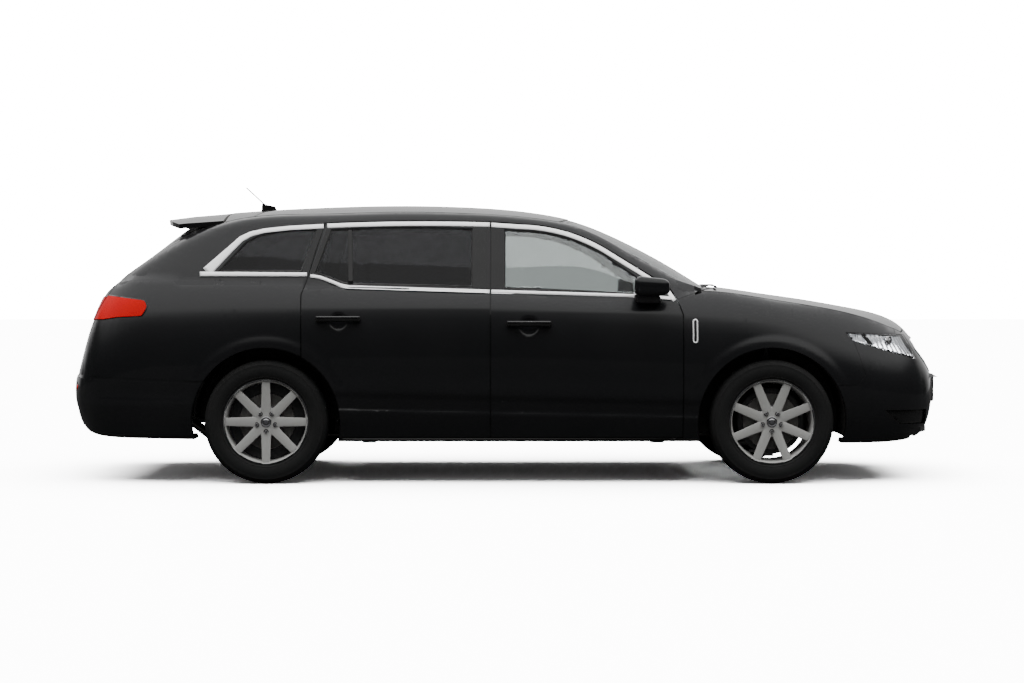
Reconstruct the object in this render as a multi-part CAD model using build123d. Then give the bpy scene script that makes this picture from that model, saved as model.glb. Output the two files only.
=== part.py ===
"""Long black livery limousine: a unibody wagon with four hinged doors, a bonnet and a tailgate.

Millimetres. +X is forward, +Y is the car's left and +Z is up. The origin lies on the ground,
under the middle of the body.
"""
from build123d import *
import math
import os
from typing import NamedTuple

# Wheels and axles
FRONT_AXLE_X = 1572.0
WHEELBASE = 2995.0
TRACK = 1660.0
TYRE_RADIUS = 368.0
TYRE_WIDTH = 235.0
RIM_RADIUS = 253.0
RIM_WIDTH = 204.0
BEAD_CLEARANCE = 0.4
SPOKES = 8
SPOKE_WIDTH = 52.0
SPOKE_DEPTH = 34.0
HUB_RADIUS = 78.0
DISC_RADIUS = 165.0
DISC_THICKNESS = 26.0
STUB_RADIUS = 36.0
BEARING_CLEARANCE = 0.5
KINGPIN_OFFSET = 30.0
BALL_PIN_RADIUS = 10.0
ARM_Z = 158.0
ARM_THICKNESS = 14.0
LUG_Z = 180.0
LUG_THICKNESS = 17.0
RUNNING_CLEARANCE = 8.0
STOP_CLEARANCE = 0.5

# Body walls and gaps
PANEL_GAP = 6.0
SKIN = 25.0
DOOR_THICKNESS = 75.0
FRAME_THICKNESS = 42.0
WALL_THICKNESS = 112.0
PILLAR_THICKNESS = 68.0
POCKET_DEPTH = 16.0
GLASS_RECESS = 6.0
GLASS_THICKNESS = 5.0
FLANGE_WIDTH = 45.0
ARCH_RADIUS = 440.0
ARCH_DEPTH = 512.0
LINER_THICKNESS = 8.0
SIDE_GLASS_BULGE = 14.0

# Floor, sills and fire wall
FLOOR_Z = 280.0
FLOOR_THICKNESS = 35.0
SILL_INNER_Y = 700.0
SILL_TOP_Z = 400.0
FIREWALL_X = 1150.0
LOAD_FLOOR_Z = 560.0
LOAD_STEP_X = -1020.0
DOOR_BOTTOM_Z = 275.0
DOOR_RECESS = 12.0
DOOR_INNER_Y = 812.0
PILLAR_FRONT_X = 1120.0
RAIL_Y = 440.0
BULKHEAD_THICKNESS = 25.0
NOSE_PANEL_X = 2300.0
TAIL_PANEL_X = -2405.0

# Door, lid and lamp lines, in side view
DOOR_FRONT_X = 1042.0
SAIL_INNER_Y = 806.0
LOCK_RELIEF = 16.0
LOCK_FLANGE = 12.0
HANDLE_LENGTH = 260.0
HANDLE_FACE_Y = 985.0
HANDLE_THICKNESS = 20.0
HANDLE_FOOT = 22.0
DISH_FACE_Y = 950.0
DISH_RADIUS = 110.0
DISH_DEPTH = 14.0
DOOR_SPLIT_X = -95.0
ROOF_FRONT_X = 330.0
ROOF_REAR_X = -1700.0
BUMPER_EDGE_Z = 604.0
LIP_Z = 290.0
LIP_THICKNESS = 32.0
TAILGATE_BOTTOM_Z = 636.0
TAILGATE_FOOT_Y = 560.0
FOOT_Z = 200.0
SKY_Z = 1800.0
OUTSIDE_Y = 1150.0
PIPE_Y = 550.0
STRIKERS = ((DOOR_SPLIT_X + 24.0, 700.0), (-1184.0, 900.0))
JACK_POINTS_X = (900.0, -820.0)
JACK_POINT_Y = 770.0
JACK_POINT_Z = 236.0

REAR_AXLE_X = FRONT_AXLE_X - WHEELBASE
WHEEL_Y = TRACK / 2
KINGPIN_Y = WHEEL_Y - KINGPIN_OFFSET
LEFT = 1
RIGHT = -1


class HullStation(NamedTuple):
    """Cross section of the lower body: sill, widest point, shoulder, upper edge and crown."""
    x: float
    z_bottom: float
    y_bottom: float
    y_max: float
    z_max: float
    y_shoulder: float
    z_shoulder: float
    y_edge: float
    z_edge: float
    z_crown: float


class CabinStation(NamedTuple):
    """Cross section of the glasshouse: base, side rail, roof edge and crown."""
    x: float
    y_base: float
    z_base: float
    y_rail: float
    z_rail: float
    y_roof: float
    z_roof: float
    z_crown: float


HULL = [HullStation(*row) for row in [
    (-2636, 470, 250, 330, 560, 260, 610, 160, 620, 624),
    (-2600, 400, 480, 580, 570, 490, 655, 320, 680, 690),
    (-2545, 330, 640, 715, 590, 630, 780, 420, 860, 885),
    (-2480, 290, 720, 785, 620, 710, 880, 500, 1040, 1085),
    (-2400, 275, 780, 838, 640, 775, 930, 590, 1150, 1190),
    (-2250, 268, 840, 890, 660, 850, 970, 715, 1205, 1225),
    (-2000, 265, 880, 932, 680, 900, 1000, 800, 1205, 1220),
    (-1423, 255, 895, 962, 690, 935, 1020, 855, 1185, 1200),
    (-700, 250, 895, 966, 690, 940, 1030, 880, 1152, 1170),
    (0, 250, 895, 966, 690, 940, 1030, 884, 1128, 1150),
    (700, 250, 892, 964, 690, 935, 1010, 868, 1105, 1140),
    (1200, 250, 888, 961, 690, 930, 985, 815, 1140, 1172),
    (1572, 245, 880, 956, 690, 920, 955, 795, 1092, 1128),
    (1850, 240, 865, 938, 680, 890, 910, 770, 1048, 1088),
    (2116, 238, 835, 900, 660, 845, 850, 730, 990, 1042),
    (2300, 242, 780, 845, 640, 785, 800, 665, 925, 1003),
    (2420, 255, 700, 770, 620, 710, 750, 575, 862, 955),
    (2520, 295, 580, 655, 600, 590, 695, 440, 775, 850),
    (2590, 400, 420, 490, 590, 420, 650, 300, 685, 705),
    (2636, 510, 190, 250, 565, 200, 605, 130, 615, 622),
]]

CABIN = [CabinStation(*row) for row in [
    (-2445, 600, 960, 545, 1040, 470, 1090, 1140),
    (-2346, 700, 1000, 640, 1150, 570, 1195, 1248),
    (-2247, 760, 1020, 672, 1215, 600, 1268, 1322),
    (-2098, 800, 1040, 690, 1300, 612, 1366, 1436),
    (-1900, 830, 1060, 695, 1405, 612, 1475, 1580),
    (-1659, 850, 1080, 695, 1500, 615, 1562, 1632),
    (-1161, 875, 1070, 697, 1538, 620, 1602, 1660),
    (-663, 892, 1060, 699, 1555, 624, 1616, 1672),
    (-289, 900, 1050, 702, 1553, 630, 1610, 1665),
    (209, 898, 1040, 714, 1520, 650, 1572, 1622),
    (458, 893, 1035, 740, 1455, 682, 1512, 1566),
    (707, 886, 1030, 778, 1328, 724, 1382, 1464),
    (1013, 868, 1020, 818, 1168, 775, 1210, 1302),
    (1240, 815, 1010, 790, 1080, 770, 1105, 1160),
]]


def closed_section(x, half, crown_z):
    """Closed wire of a cross section from its left half: base, widest, rail and edge points."""
    left = [Vector(x, y, z) for y, z in half]
    right = [Vector(x, -y, z) for y, z in half]
    left_side = Edge.make_three_point_arc(*left[:3])
    right_side = Edge.make_three_point_arc(*right[2::-1])
    left_roll = Edge.make_tangent_arc(left[2], left_side % 1, left[3])
    right_roll = Edge.make_tangent_arc(right[2], -(right_side % 0), right[3])
    crown = Edge.make_three_point_arc(left[3], Vector(x, 0, crown_z), right[3])
    base = Edge.make_line(right[0], left[0])
    return Wire([base, left_side, left_roll, crown, right_roll, right_side])


def hull_section(station, inset, shift):
    """Section of the lower body, drawn in by a wall thickness."""
    half = [
        (station.y_bottom - inset, station.z_bottom + inset),
        (station.y_max - inset, station.z_max),
        (station.y_shoulder - 0.95 * inset, station.z_shoulder - 0.35 * inset),
        (station.y_edge - 0.6 * inset, station.z_edge - 0.85 * inset),
    ]
    return closed_section(station.x + shift, half, station.z_crown - inset)


def cabin_section(station, inset, shift):
    """Section of the glasshouse, drawn in by a wall thickness and deep enough to join the hull."""
    base = (station.y_base - inset, station.z_base - 2 * inset)
    rail = (station.y_rail - 0.95 * inset, station.z_rail - 0.45 * inset)
    middle = ((base[0] + rail[0]) / 2 + SIDE_GLASS_BULGE, (base[1] + rail[1]) / 2)
    edge = (station.y_roof - 0.6 * inset, station.z_roof - 0.9 * inset)
    return closed_section(station.x + shift, [base, middle, rail, edge], station.z_crown - inset)


def lofted(stations, section, inset):
    """Loft through the stations; a drawn-in form also ends short at both ends."""
    last = len(stations) - 1
    wires = []
    for index, station in enumerate(stations):
        shift = inset if index == 0 else -inset if index == last else 0.0
        wires.append(section(station, inset, shift))
    return Solid.make_loft(wires)


def body_form(hull_inset=0.0, cabin_inset=0.0):
    """Whole body form, hull and glasshouse, drawn in by the given wall thicknesses."""
    if hull_inset == 0.0:
        return lofted(HULL, hull_section, 0.0) + lofted(CABIN, cabin_section, 0.0)
    return lofted(HULL[2:-2], hull_section, hull_inset) + lofted(CABIN[1:-1], cabin_section, cabin_inset)


def outline_edges(points, place):
    """Edges through (u, v) corners; a point (u, v, mid_u, mid_v) is reached by an arc."""
    edges = []
    previous = points[-1]
    for point in points:
        start, end = place(*previous[:2]), place(*point[:2])
        if len(point) == 4:
            edges.append(Edge.make_three_point_arc(start, place(*point[2:]), end))
        else:
            edges.append(Edge.make_line(start, end))
        previous = point
    return edges


def grown(points, margin):
    """The same outline moved outward by an even margin, or inward if it is negative."""
    edges = outline_edges(points, Vector)
    turn = Face(Wire(edges)).normal_at().Z
    outward = [[(edge % where).cross(Vector(0, 0, turn)) for where in (0, 0.5, 1)] for edge in edges]
    moved = []
    for index, point in enumerate(points):
        before, after = outward[index][2], outward[(index + 1) % len(points)][0]
        corner = Vector(*point[:2]) + (before + after) * (margin / (1 + before.dot(after)))
        middle = ()
        if len(point) == 4:
            middle_point = Vector(*point[2:]) + outward[index][1] * margin
            middle = (middle_point.X, middle_point.Y)
        moved.append((corner.X, corner.Y, *middle))
    return moved


def prism(points, place, along, grow=0.0):
    """Solid of an outline swept along a vector, grown or shrunk by an even margin."""
    if grow:
        points = grown(points, grow)
    return Solid.extrude(Face(Wire(outline_edges(points, place))), Vector(*along))


def side_prism(points, y_from=500.0, y_to=OUTSIDE_Y, grow=0.0):
    """Outline in side view (x, z), swept across the car."""
    return prism(points, lambda x, z: Vector(x, y_from, z), (0, y_to - y_from, 0), grow)


def plan_prism(points, z_from, z_to=SKY_Z, grow=0.0):
    """Outline in plan (x, y), swept upward."""
    return prism(points, lambda x, y: Vector(x, y, z_from), (0, 0, z_to - z_from), grow)


def front_prism(points, x_from, x_to, grow=0.0):
    """Outline in front view (y, z), swept along the car."""
    return prism(points, lambda y, z: Vector(x_from, y, z), (x_to - x_from, 0, 0), grow)


def block(x_range, y_range, z_range):
    """Box between three pairs of limits."""
    size = [limits[1] - limits[0] for limits in (x_range, y_range, z_range)]
    middle = [(limits[0] + limits[1]) / 2 for limits in (x_range, y_range, z_range)]
    return Pos(*middle) * Box(*size)


def mirrored(shape):
    """The same piece on the other side of the car."""
    return shape.mirror(Plane.XZ)


def tube(start, end, radius):
    """Round bar between two points."""
    start, end = Vector(*start), Vector(*end)
    plane = Plane(origin=start, z_dir=end - start)
    return Solid.make_cylinder(radius, (end - start).length, plane)


def lathe(profile, y_centre):
    """Solid turned about the wheel axle through the origin, from (radius, offset) corners."""
    edges = outline_edges(profile, lambda r, y: Vector(0, y_centre + y, r))
    return Solid.revolve(Face(Wire(edges)), 360, Axis.Y)


# Outlines

FRONT_DOOR = [
    (DOOR_SPLIT_X + PANEL_GAP / 2, DOOR_BOTTOM_Z),
    (DOOR_FRONT_X, DOOR_BOTTOM_Z),
    (DOOR_FRONT_X, 1003),
    (1008, 1092),
    (963, 1164),
    (600, 1390),
    (90, 1540, 350, 1500),
    (DOOR_SPLIT_X + PANEL_GAP / 2, 1553),
]
REAR_DOOR = [
    (DOOR_SPLIT_X - PANEL_GAP / 2, DOOR_BOTTOM_Z),
    (DOOR_SPLIT_X - PANEL_GAP / 2, 1553),
    (-1086, 1546, -560, 1559),
    (-1176, 1232),
    (-1212, 1120),
    (-1208, 752),
    (-1100, DOOR_BOTTOM_Z),
]
FRONT_WINDOW = [
    (-15, 1158),
    (938, 1117),
    (590, 1357),
    (85, 1507, 345, 1467),
    (-15, 1513),
]
REAR_WINDOW = [
    (-200, 1166),
    (-200, 1518),
    (-1052, 1512, -600, 1526),
    (-1138, 1252),
    (-960, 1184),
]
QUARTER_WINDOW = [
    (-1218, 1258),
    (-1135, 1510),
    (-1480, 1478, -1310, 1507),
    (-1560, 1440),
    (-1720, 1258),
]
HEADLAMP = [(2018, 894), (2400, 874), (2470, 732), (2233, 796), (2060, 845)]
TAIL_LAMP = [
    (-2129, 1058),
    (-2150, 1087),
    (-2402, 1116),
    (-2650, 1124),
    (-2650, 960),
    (-2473, 968),
    (-2320, 987),
    (-2160, 996),
    (-2142, 1022),
]
REAR_BUMPER = [
    (REAR_AXLE_X, FOOT_Z),
    (REAR_AXLE_X, BUMPER_EDGE_Z),
    (-1885, BUMPER_EDGE_Z),
    (-2700, TAILGATE_BOTTOM_Z - PANEL_GAP),
    (-2700, FOOT_Z),
]
FENDER = [
    (DOOR_FRONT_X + PANEL_GAP, FOOT_Z),
    (DOOR_FRONT_X + PANEL_GAP, 1004),
    (1016, 1090),
    (1160, 1130),
    (1160, SKY_Z),
    (2330, SKY_Z),
    (2330, 872),
    (2036, 888),
    (2122, 647),
    (2075, 585),
    (FRONT_AXLE_X, 585),
    (FRONT_AXLE_X, FOOT_Z),
]
HOOD = [
    (1172, 800, 1330, 0),
    (1572, 786),
    (1850, 761),
    (2116, 721),
    (2300, 656),
    (2390, 560),
    (2390, -560, 2466, 0),
    (2300, -656),
    (2116, -721),
    (1850, -761),
    (1572, -786),
    (1172, -800),
]
WINDSCREEN = [
    (1150, 770),
    (1150, -770, 1318, 0),
    (ROOF_FRONT_X - 20, -640),
    (ROOF_FRONT_X - 20, 640, ROOF_FRONT_X + 60, 0),
]
COWL = [(1100, 772), (1335, 772), (1335, -772), (1100, -772)]
ROOF = [
    (ROOF_FRONT_X - 20, 640),
    (ROOF_FRONT_X - 20, -640, ROOF_FRONT_X + 60, 0),
    (ROOF_REAR_X, -590),
    (ROOF_REAR_X, 590),
]
TAILGATE = [
    (590, SKY_Z),
    (-590, SKY_Z),
    (-598, 1270),
    (-640, 1100),
    (-640, 900),
    (-TAILGATE_FOOT_Y, TAILGATE_BOTTOM_Z),
    (TAILGATE_FOOT_Y, TAILGATE_BOTTOM_Z),
    (640, 900),
    (640, 1100),
    (598, 1270),
]
REAR_GLASS = [(520, 1540, 545, 1380), (-520, 1540), (-530, 1215, -545, 1380), (530, 1215, 0, 1190)]
# Spoiler sections: x, half width, edge height, crown height, depth
SPOILER = [(-1770, 575, 1562, 1622, 60), (-1950, 572, 1545, 1607, 34), (-2112, 560, 1524, 1586, 18)]
FOG_POCKET = [(2252, 434), (2536, 428), (2536, 338), (2348, 348)]
INTAKE = [(330, 470), (-330, 470), (-300, 362), (300, 362)]
# Left half of the front lip in plan: outer edge from side to nose, then back inside
LIP = [
    (2340, 786),
    (2420, 738),
    (2500, 655),
    (2552, 530),
    (2582, 350),
    (2592, 150),
    (2592, -1),
    (2530, -1),
    (2530, 200),
    (2500, 450),
    (2440, 600),
    (2340, 690),
]
GRILLE = [(500, 850), (-500, 850), (-560, 790), (-420, 660), (420, 660), (560, 790)]


def arch_cutter():
    """Four wheel wells, open to the outside."""
    wells = []
    for x in (FRONT_AXLE_X, REAR_AXLE_X):
        for side in (LEFT, RIGHT):
            inner = (x, side * ARCH_DEPTH, TYRE_RADIUS)
            wells.append(tube(inner, (x, side * OUTSIDE_Y, TYRE_RADIUS), ARCH_RADIUS))
    return wells


def cut_each(shape, cutters):
    """Take the cutters away one after another."""
    for cutter in cutters:
        shape = shape - cutter
    return shape


def joined(pieces):
    """Fuse pieces into one solid."""
    shape = pieces[0]
    for piece in pieces[1:]:
        shape = shape + piece
    return shape


class Body:
    """Body forms and panel cutters that the panels share."""

    def __init__(self):
        self.outer = body_form()
        self.skin_form = body_form(SKIN, SKIN)
        self.flange_form = body_form(LOCK_FLANGE, LOCK_FLANGE)
        self.pocket_form = body_form(POCKET_DEPTH, POCKET_DEPTH)
        self.pillar_form = body_form(SKIN + STOP_CLEARANCE, SKIN + STOP_CLEARANCE)
        self.stop_form = body_form(DOOR_THICKNESS + STOP_CLEARANCE, FRAME_THICKNESS + STOP_CLEARANCE)
        self.rebate_form = body_form(DOOR_THICKNESS + DOOR_RECESS, FRAME_THICKNESS + PANEL_GAP)
        self.wall_form = body_form(WALL_THICKNESS, PILLAR_THICKNESS)
        self.skin = self.outer - self.skin_form
        self.door_layer = self.outer - body_form(DOOR_THICKNESS, FRAME_THICKNESS)
        self.wall = self.outer - self.wall_form
        glass_outer = lofted(CABIN, cabin_section, GLASS_RECESS)
        glass_inner = lofted(CABIN, cabin_section, GLASS_RECESS + GLASS_THICKNESS)
        self.glass = glass_outer - glass_inner
        self.wells = arch_cutter()
        self.hood_prism = plan_prism(HOOD, 560)
        self.hood_gap = plan_prism(HOOD, 560, grow=PANEL_GAP)
        self.tailgate_prism = front_prism(TAILGATE, -2800, ROOF_REAR_X - PANEL_GAP)
        self.tailgate_gap = front_prism(TAILGATE, -2800, ROOF_REAR_X, grow=PANEL_GAP)
        self.grille_prism = front_prism(GRILLE, NOSE_PANEL_X, 2800)
        self.windscreen_prism = plan_prism(WINDSCREEN, 1040)
        self.rear_glass_prism = front_prism(REAR_GLASS, -2800, ROOF_REAR_X)
        self.roof_prism = plan_prism(ROOF, 1300)
        self.headlamp_prism = side_prism(HEADLAMP, y_from=300)
        self.tail_lamp_prism = side_prism(TAIL_LAMP, y_from=-OUTSIDE_Y)
        self.rear_bumper_prism = side_prism(REAR_BUMPER, y_from=-OUTSIDE_Y)
        self.fender_prism = side_prism(FENDER, y_from=300)
        self.cowl_prism = plan_prism(COWL, 1000)
        self.door_inboard = block((-2000, 2000), (0, DOOR_INNER_Y), (FOOT_Z, 430))


def door_panel(body, door, window, handle):
    """Left door: one thick panel with its window frame, and a bar handle on two feet over a dish."""
    x, z = handle
    dish = Pos(x, DISH_FACE_Y + DISH_RADIUS - DISH_DEPTH, z) * Solid.make_sphere(DISH_RADIUS)
    sail = block((FRONT_WINDOW[1][0] - 40, DOOR_FRONT_X + 1), (0, SAIL_INNER_Y), (1040, 1180))
    lock_edge = block((DOOR_SPLIT_X, DOOR_SPLIT_X + PANEL_GAP / 2 + LOCK_RELIEF), (0, OUTSIDE_Y), (FOOT_Z, SKY_Z))
    cuts = [side_prism(window), body.door_inboard, sail, dish, lock_edge & body.flange_form]
    panel = cut_each(body.door_layer & side_prism(door), cuts + body.wells)
    bar_y = (HANDLE_FACE_Y - HANDLE_THICKNESS, HANDLE_FACE_Y)
    bar = block((x - HANDLE_LENGTH / 2, x + HANDLE_LENGTH / 2), bar_y, (z - 17, z + 17))
    panel = panel + fillet(bar.edges().filter_by(Axis.X), 8)
    for end in (-1, 1):
        foot_x = x + end * (HANDLE_LENGTH / 2 - HANDLE_FOOT)
        foot = block((foot_x - HANDLE_FOOT, foot_x + HANDLE_FOOT), (DISH_FACE_Y - 15, bar_y[1] - 8), (z - 13, z + 13))
        panel = panel + foot
    return panel


def door_glass(body, window):
    """Left window pane, seated in its opening."""
    return body.glass & side_prism(window)


def mirror(door):
    """Left outside mirror on its foot."""
    head = block((748, 960), (968, 1086), (1108, 1231))
    head = fillet(head.edges(), 35)
    foot = block((750, 930), (890, 1010), (1050, 1125))
    return (head + foot) - door


def body_side(body):
    """Left body side: A pillar, roof rail, B pillar, sill and rear quarter in one pressing."""
    panel = body.wall & block((-2800, PILLAR_FRONT_X), (0.0, OUTSIDE_Y), (FOOT_Z, SKY_Z))
    cuts = [block((-2800, 1300), (-1, SILL_INNER_Y), (FOOT_Z, SILL_TOP_Z))]
    sill = block((-2000, 2000), (0, DOOR_INNER_Y - PANEL_GAP), (FOOT_Z, 430))
    for door in (FRONT_DOOR, REAR_DOOR):
        cuts.append(side_prism(door, grow=PANEL_GAP) - body.rebate_form - sill)
        opening = side_prism(door, grow=-FLANGE_WIDTH)
        cuts.append(opening & block((-2000, 2000), (0, OUTSIDE_Y), (SILL_TOP_Z, SKY_Z)))
    cuts += [side_prism(QUARTER_WINDOW), body.tailgate_gap, body.rear_bumper_prism]
    cuts.append(block((-2800, TAIL_PANEL_X), (-1, TAILGATE_FOOT_Y + PANEL_GAP), (FOOT_Z, TAILGATE_BOTTOM_Z)))
    cuts += [body.tail_lamp_prism - body.skin_form, body.fender_prism - body.pillar_form]
    cuts += [body.windscreen_prism, body.roof_prism, body.hood_gap, body.cowl_prism]
    panel = cut_each(panel, cuts + body.wells)
    for x, z in STRIKERS:
        striker = block((x - 14, x + 14), (600, OUTSIDE_Y), (z - 12, z + 12))
        panel = panel + (striker & (body.stop_form - body.wall_form))
    for x in JACK_POINTS_X:
        panel = panel + block((x - 40, x + 40), (JACK_POINT_Y - 20, JACK_POINT_Y + 20), (JACK_POINT_Z, 270))
    return panel


def front_fender(body):
    """Left front wing with its wheel arch."""
    inboard = block((0, 2800), (0, SILL_INNER_Y), (FOOT_Z, 700))
    cuts = [body.hood_gap, body.headlamp_prism, body.cowl_prism, inboard]
    return cut_each(body.skin & body.fender_prism, cuts + body.wells)


def front_bumper(body):
    """Front bumper with the nose around grille and lamps, a lower intake, fog lamp pockets and a lip."""
    panel = body.skin & block((FRONT_AXLE_X, 2800), (-OUTSIDE_Y, OUTSIDE_Y), (FOOT_Z, SKY_Z))
    cuts = [body.hood_gap, body.grille_prism]
    cuts.append(block((0, 2460), (-SILL_INNER_Y, SILL_INNER_Y), (FOOT_Z, 560)))
    fog_pocket = side_prism(FOG_POCKET, y_from=300) - body.pocket_form
    for cutter in (body.fender_prism, body.headlamp_prism, fog_pocket):
        cuts += [cutter, mirrored(cutter)]
    cuts.append(front_prism(INTAKE, NOSE_PANEL_X, 2800) - body.pocket_form)
    panel = cut_each(panel, cuts + body.wells)
    lip = plan_prism(LIP, LIP_Z, LIP_Z + LIP_THICKNESS)
    return panel + lip + mirrored(lip)


def rear_bumper(body):
    """Rear bumper, open underneath and cut out above the tail pipes."""
    cuts = [block((-2450, 0), (-SILL_INNER_Y, SILL_INNER_Y), (FOOT_Z, BUMPER_EDGE_Z + 60))]
    for side in (LEFT, RIGHT):
        y_range = sorted((side * (PIPE_Y - 90), side * (PIPE_Y + 90)))
        cuts.append(block((-2800, -2250), y_range, (FOOT_Z, 340)))
    panel = cut_each(body.skin & body.rear_bumper_prism, cuts + body.wells)
    for side in (LEFT, RIGHT):
        y_range = sorted((side * 385, side * 415))
        panel = panel + block((-2565, -2535), y_range, (600, TAILGATE_BOTTOM_Z - STOP_CLEARANCE))
    return panel


def tailgate(body):
    """Tailgate with its window opening and the lip spoiler above the glass."""
    panel = body.door_layer & body.tailgate_prism
    panel = cut_each(panel, [body.rear_glass_prism, body.tail_lamp_prism - body.skin_form])
    return panel + (spoiler() - (body.rear_glass_prism & body.outer))


def spoiler():
    """Lip that carries the roof line back over the rear glass."""
    wires = []
    for x, half, z_edge, z_crown, depth in SPOILER:
        upper = [Vector(x, y, z) for y, z in ((half, z_edge), (0, z_crown), (-half, z_edge))]
        lower = [point - Vector(0, 0, depth) for point in upper]
        top = Edge.make_three_point_arc(*upper)
        bottom = Edge.make_three_point_arc(*lower[::-1])
        ends = [Edge.make_line(upper[2], lower[2]), Edge.make_line(lower[0], upper[0])]
        wires.append(Wire([top, ends[0], bottom, ends[1]]))
    return Solid.make_loft(wires)


def front_to_back(points, half_width):
    """Side view outline swept evenly across the middle of the car."""
    return side_prism(points, y_from=-half_width, y_to=half_width)


def grille(body):
    """Grille with slots between level bars and a middle post."""
    panel = body.skin & body.grille_prism
    for z in range(690, 840, 40):
        for side in (LEFT, RIGHT):
            panel = panel - block((NOSE_PANEL_X, 2800), sorted((side * 20, side * 430)), (z, z + 22))
    return panel


def wheel_house(body, x, form):
    """Liner over the left wheel, closed inboard."""
    low, high = ARCH_DEPTH - LINER_THICKNESS, OUTSIDE_Y
    drum = tube((x, low, TYRE_RADIUS), (x, high, TYRE_RADIUS), ARCH_RADIUS + LINER_THICKNESS)
    upper = block((x - 600, x + 600), (0, OUTSIDE_Y), (FLOOR_Z, SKY_Z))
    return (drum & upper & form) - body.wells[0] - body.wells[2]


def underbody(body):
    """Floor pan, load floor, fire wall, rails and wheel houses."""
    floor_top = FLOOR_Z + FLOOR_THICKNESS
    across = (-SILL_INNER_Y, SILL_INNER_Y)
    between = (-(ARCH_DEPTH - LINER_THICKNESS / 2), ARCH_DEPTH - LINER_THICKNESS / 2)
    step = LOAD_STEP_X - BULKHEAD_THICKNESS
    front_floor = block((step, FIREWALL_X + BULKHEAD_THICKNESS), across, (FLOOR_Z, floor_top))
    step_wall = block((step, LOAD_STEP_X), between, (FLOOR_Z, LOAD_FLOOR_Z + BULKHEAD_THICKNESS))
    load_floor = block((TAIL_PANEL_X, LOAD_STEP_X), between, (LOAD_FLOOR_Z, LOAD_FLOOR_Z + BULKHEAD_THICKNESS))
    boot_x = REAR_AXLE_X - ARCH_RADIUS - LINER_THICKNESS / 2
    boot_floor = block((TAIL_PANEL_X, boot_x), across, (LOAD_FLOOR_Z, LOAD_FLOOR_Z + BULKHEAD_THICKNESS))
    tail_panel = block((TAIL_PANEL_X - BULKHEAD_THICKNESS, TAIL_PANEL_X), across, (400, LOAD_FLOOR_Z + 40))
    fire_wall = block((FIREWALL_X, FIREWALL_X + BULKHEAD_THICKNESS), across, (FLOOR_Z, 1030))
    nose_panel = block((NOSE_PANEL_X, NOSE_PANEL_X + BULKHEAD_THICKNESS), between, (330, 620))
    pieces = [front_floor, step_wall, load_floor, boot_floor, tail_panel, fire_wall, nose_panel]
    for side in (LEFT, RIGHT):
        y_range = sorted((side * RAIL_Y, side * (ARCH_DEPTH - LINER_THICKNESS / 2)))
        pieces.append(block((FIREWALL_X, NOSE_PANEL_X + BULKHEAD_THICKNESS), y_range, (420, 540)))
        post = block((NOSE_PANEL_X, NOSE_PANEL_X + BULKHEAD_THICKNESS), y_range, (420, SKY_Z))
        pieces.append(post & body.pillar_form)
    for x, form in ((FRONT_AXLE_X, body.pillar_form), (REAR_AXLE_X, body.wall_form)):
        house = wheel_house(body, x, form)
        pieces += [house, mirrored(house)]
    return cut_each(joined(pieces), body.wells)


def wheel_rim(turn):
    """Left alloy wheel about the origin: rim, spokes, hub and brake disc, outer face toward +Y."""
    half = RIM_WIDTH / 2
    seat = RIM_RADIUS - 12
    barrel = lathe([
        (RIM_RADIUS, -half), (RIM_RADIUS, 8 - half), (seat, 8 - half), (seat, half - 8),
        (RIM_RADIUS, half - 8), (RIM_RADIUS, half), (seat - 6, half), (seat - 15, half - 25), (seat - 15, -half),
    ], 0)
    hub = lathe([
        (0, 20), (STUB_RADIUS + BEARING_CLEARANCE, 20), (STUB_RADIUS + BEARING_CLEARANCE, -60),
        (DISC_RADIUS, -60), (DISC_RADIUS, DISC_THICKNESS - 60), (HUB_RADIUS, DISC_THICKNESS - 60),
        (HUB_RADIUS, 76), (0, 76),
    ], 0)
    wheel = barrel + hub
    spoke = block((-SPOKE_WIDTH / 2, SPOKE_WIDTH / 2), (80 - SPOKE_DEPTH, 80), (HUB_RADIUS - 20, seat - 8))
    for index in range(SPOKES):
        angle = (index + turn) * 360 / SPOKES
        wheel = wheel + spoke.rotate(Axis.Y, angle)
    return wheel


def tyre():
    """Left tyre about the origin, bead to bead."""
    half = RIM_WIDTH / 2 - 8
    bead = RIM_RADIUS - 12 + BEAD_CLEARANCE
    shoulder = TYRE_WIDTH / 2 - 28
    return lathe([
        (bead, -half), (bead, half), (RIM_RADIUS + 1, half), (316, TYRE_WIDTH / 2), (TYRE_RADIUS, shoulder),
        (TYRE_RADIUS, -shoulder), (316, -TYRE_WIDTH / 2), (RIM_RADIUS + 1, -half),
    ], 0)


def upright(x, z_bottom):
    """Left wheel carrier with its stub axle."""
    y_out = WHEEL_Y - 60 - RUNNING_CLEARANCE
    plate = block((x - 50, x + 50), (y_out - 55, y_out), (z_bottom, TYRE_RADIUS + 110))
    plate = fillet(plate.edges().filter_by(Axis.Y), 8)
    stub = tube((x, y_out - 1, TYRE_RADIUS), (x, WHEEL_Y + 20 - RUNNING_CLEARANCE, TYRE_RADIUS), STUB_RADIUS)
    return plate + stub


def knuckle():
    """Left steering knuckle: a wheel carrier with a lug for the lower ball pin."""
    lug_y = (WHEEL_Y - 120, KINGPIN_Y + 20)
    lug = block((FRONT_AXLE_X - 22, FRONT_AXLE_X + 22), lug_y, (LUG_Z, LUG_Z + LUG_THICKNESS))
    hole = tube((FRONT_AXLE_X, KINGPIN_Y, FOOT_Z - 100), (FRONT_AXLE_X, KINGPIN_Y, LUG_Z + LUG_THICKNESS),
                BALL_PIN_RADIUS + BEARING_CLEARANCE)
    return upright(FRONT_AXLE_X, LUG_Z) + (lug - hole)


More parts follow.
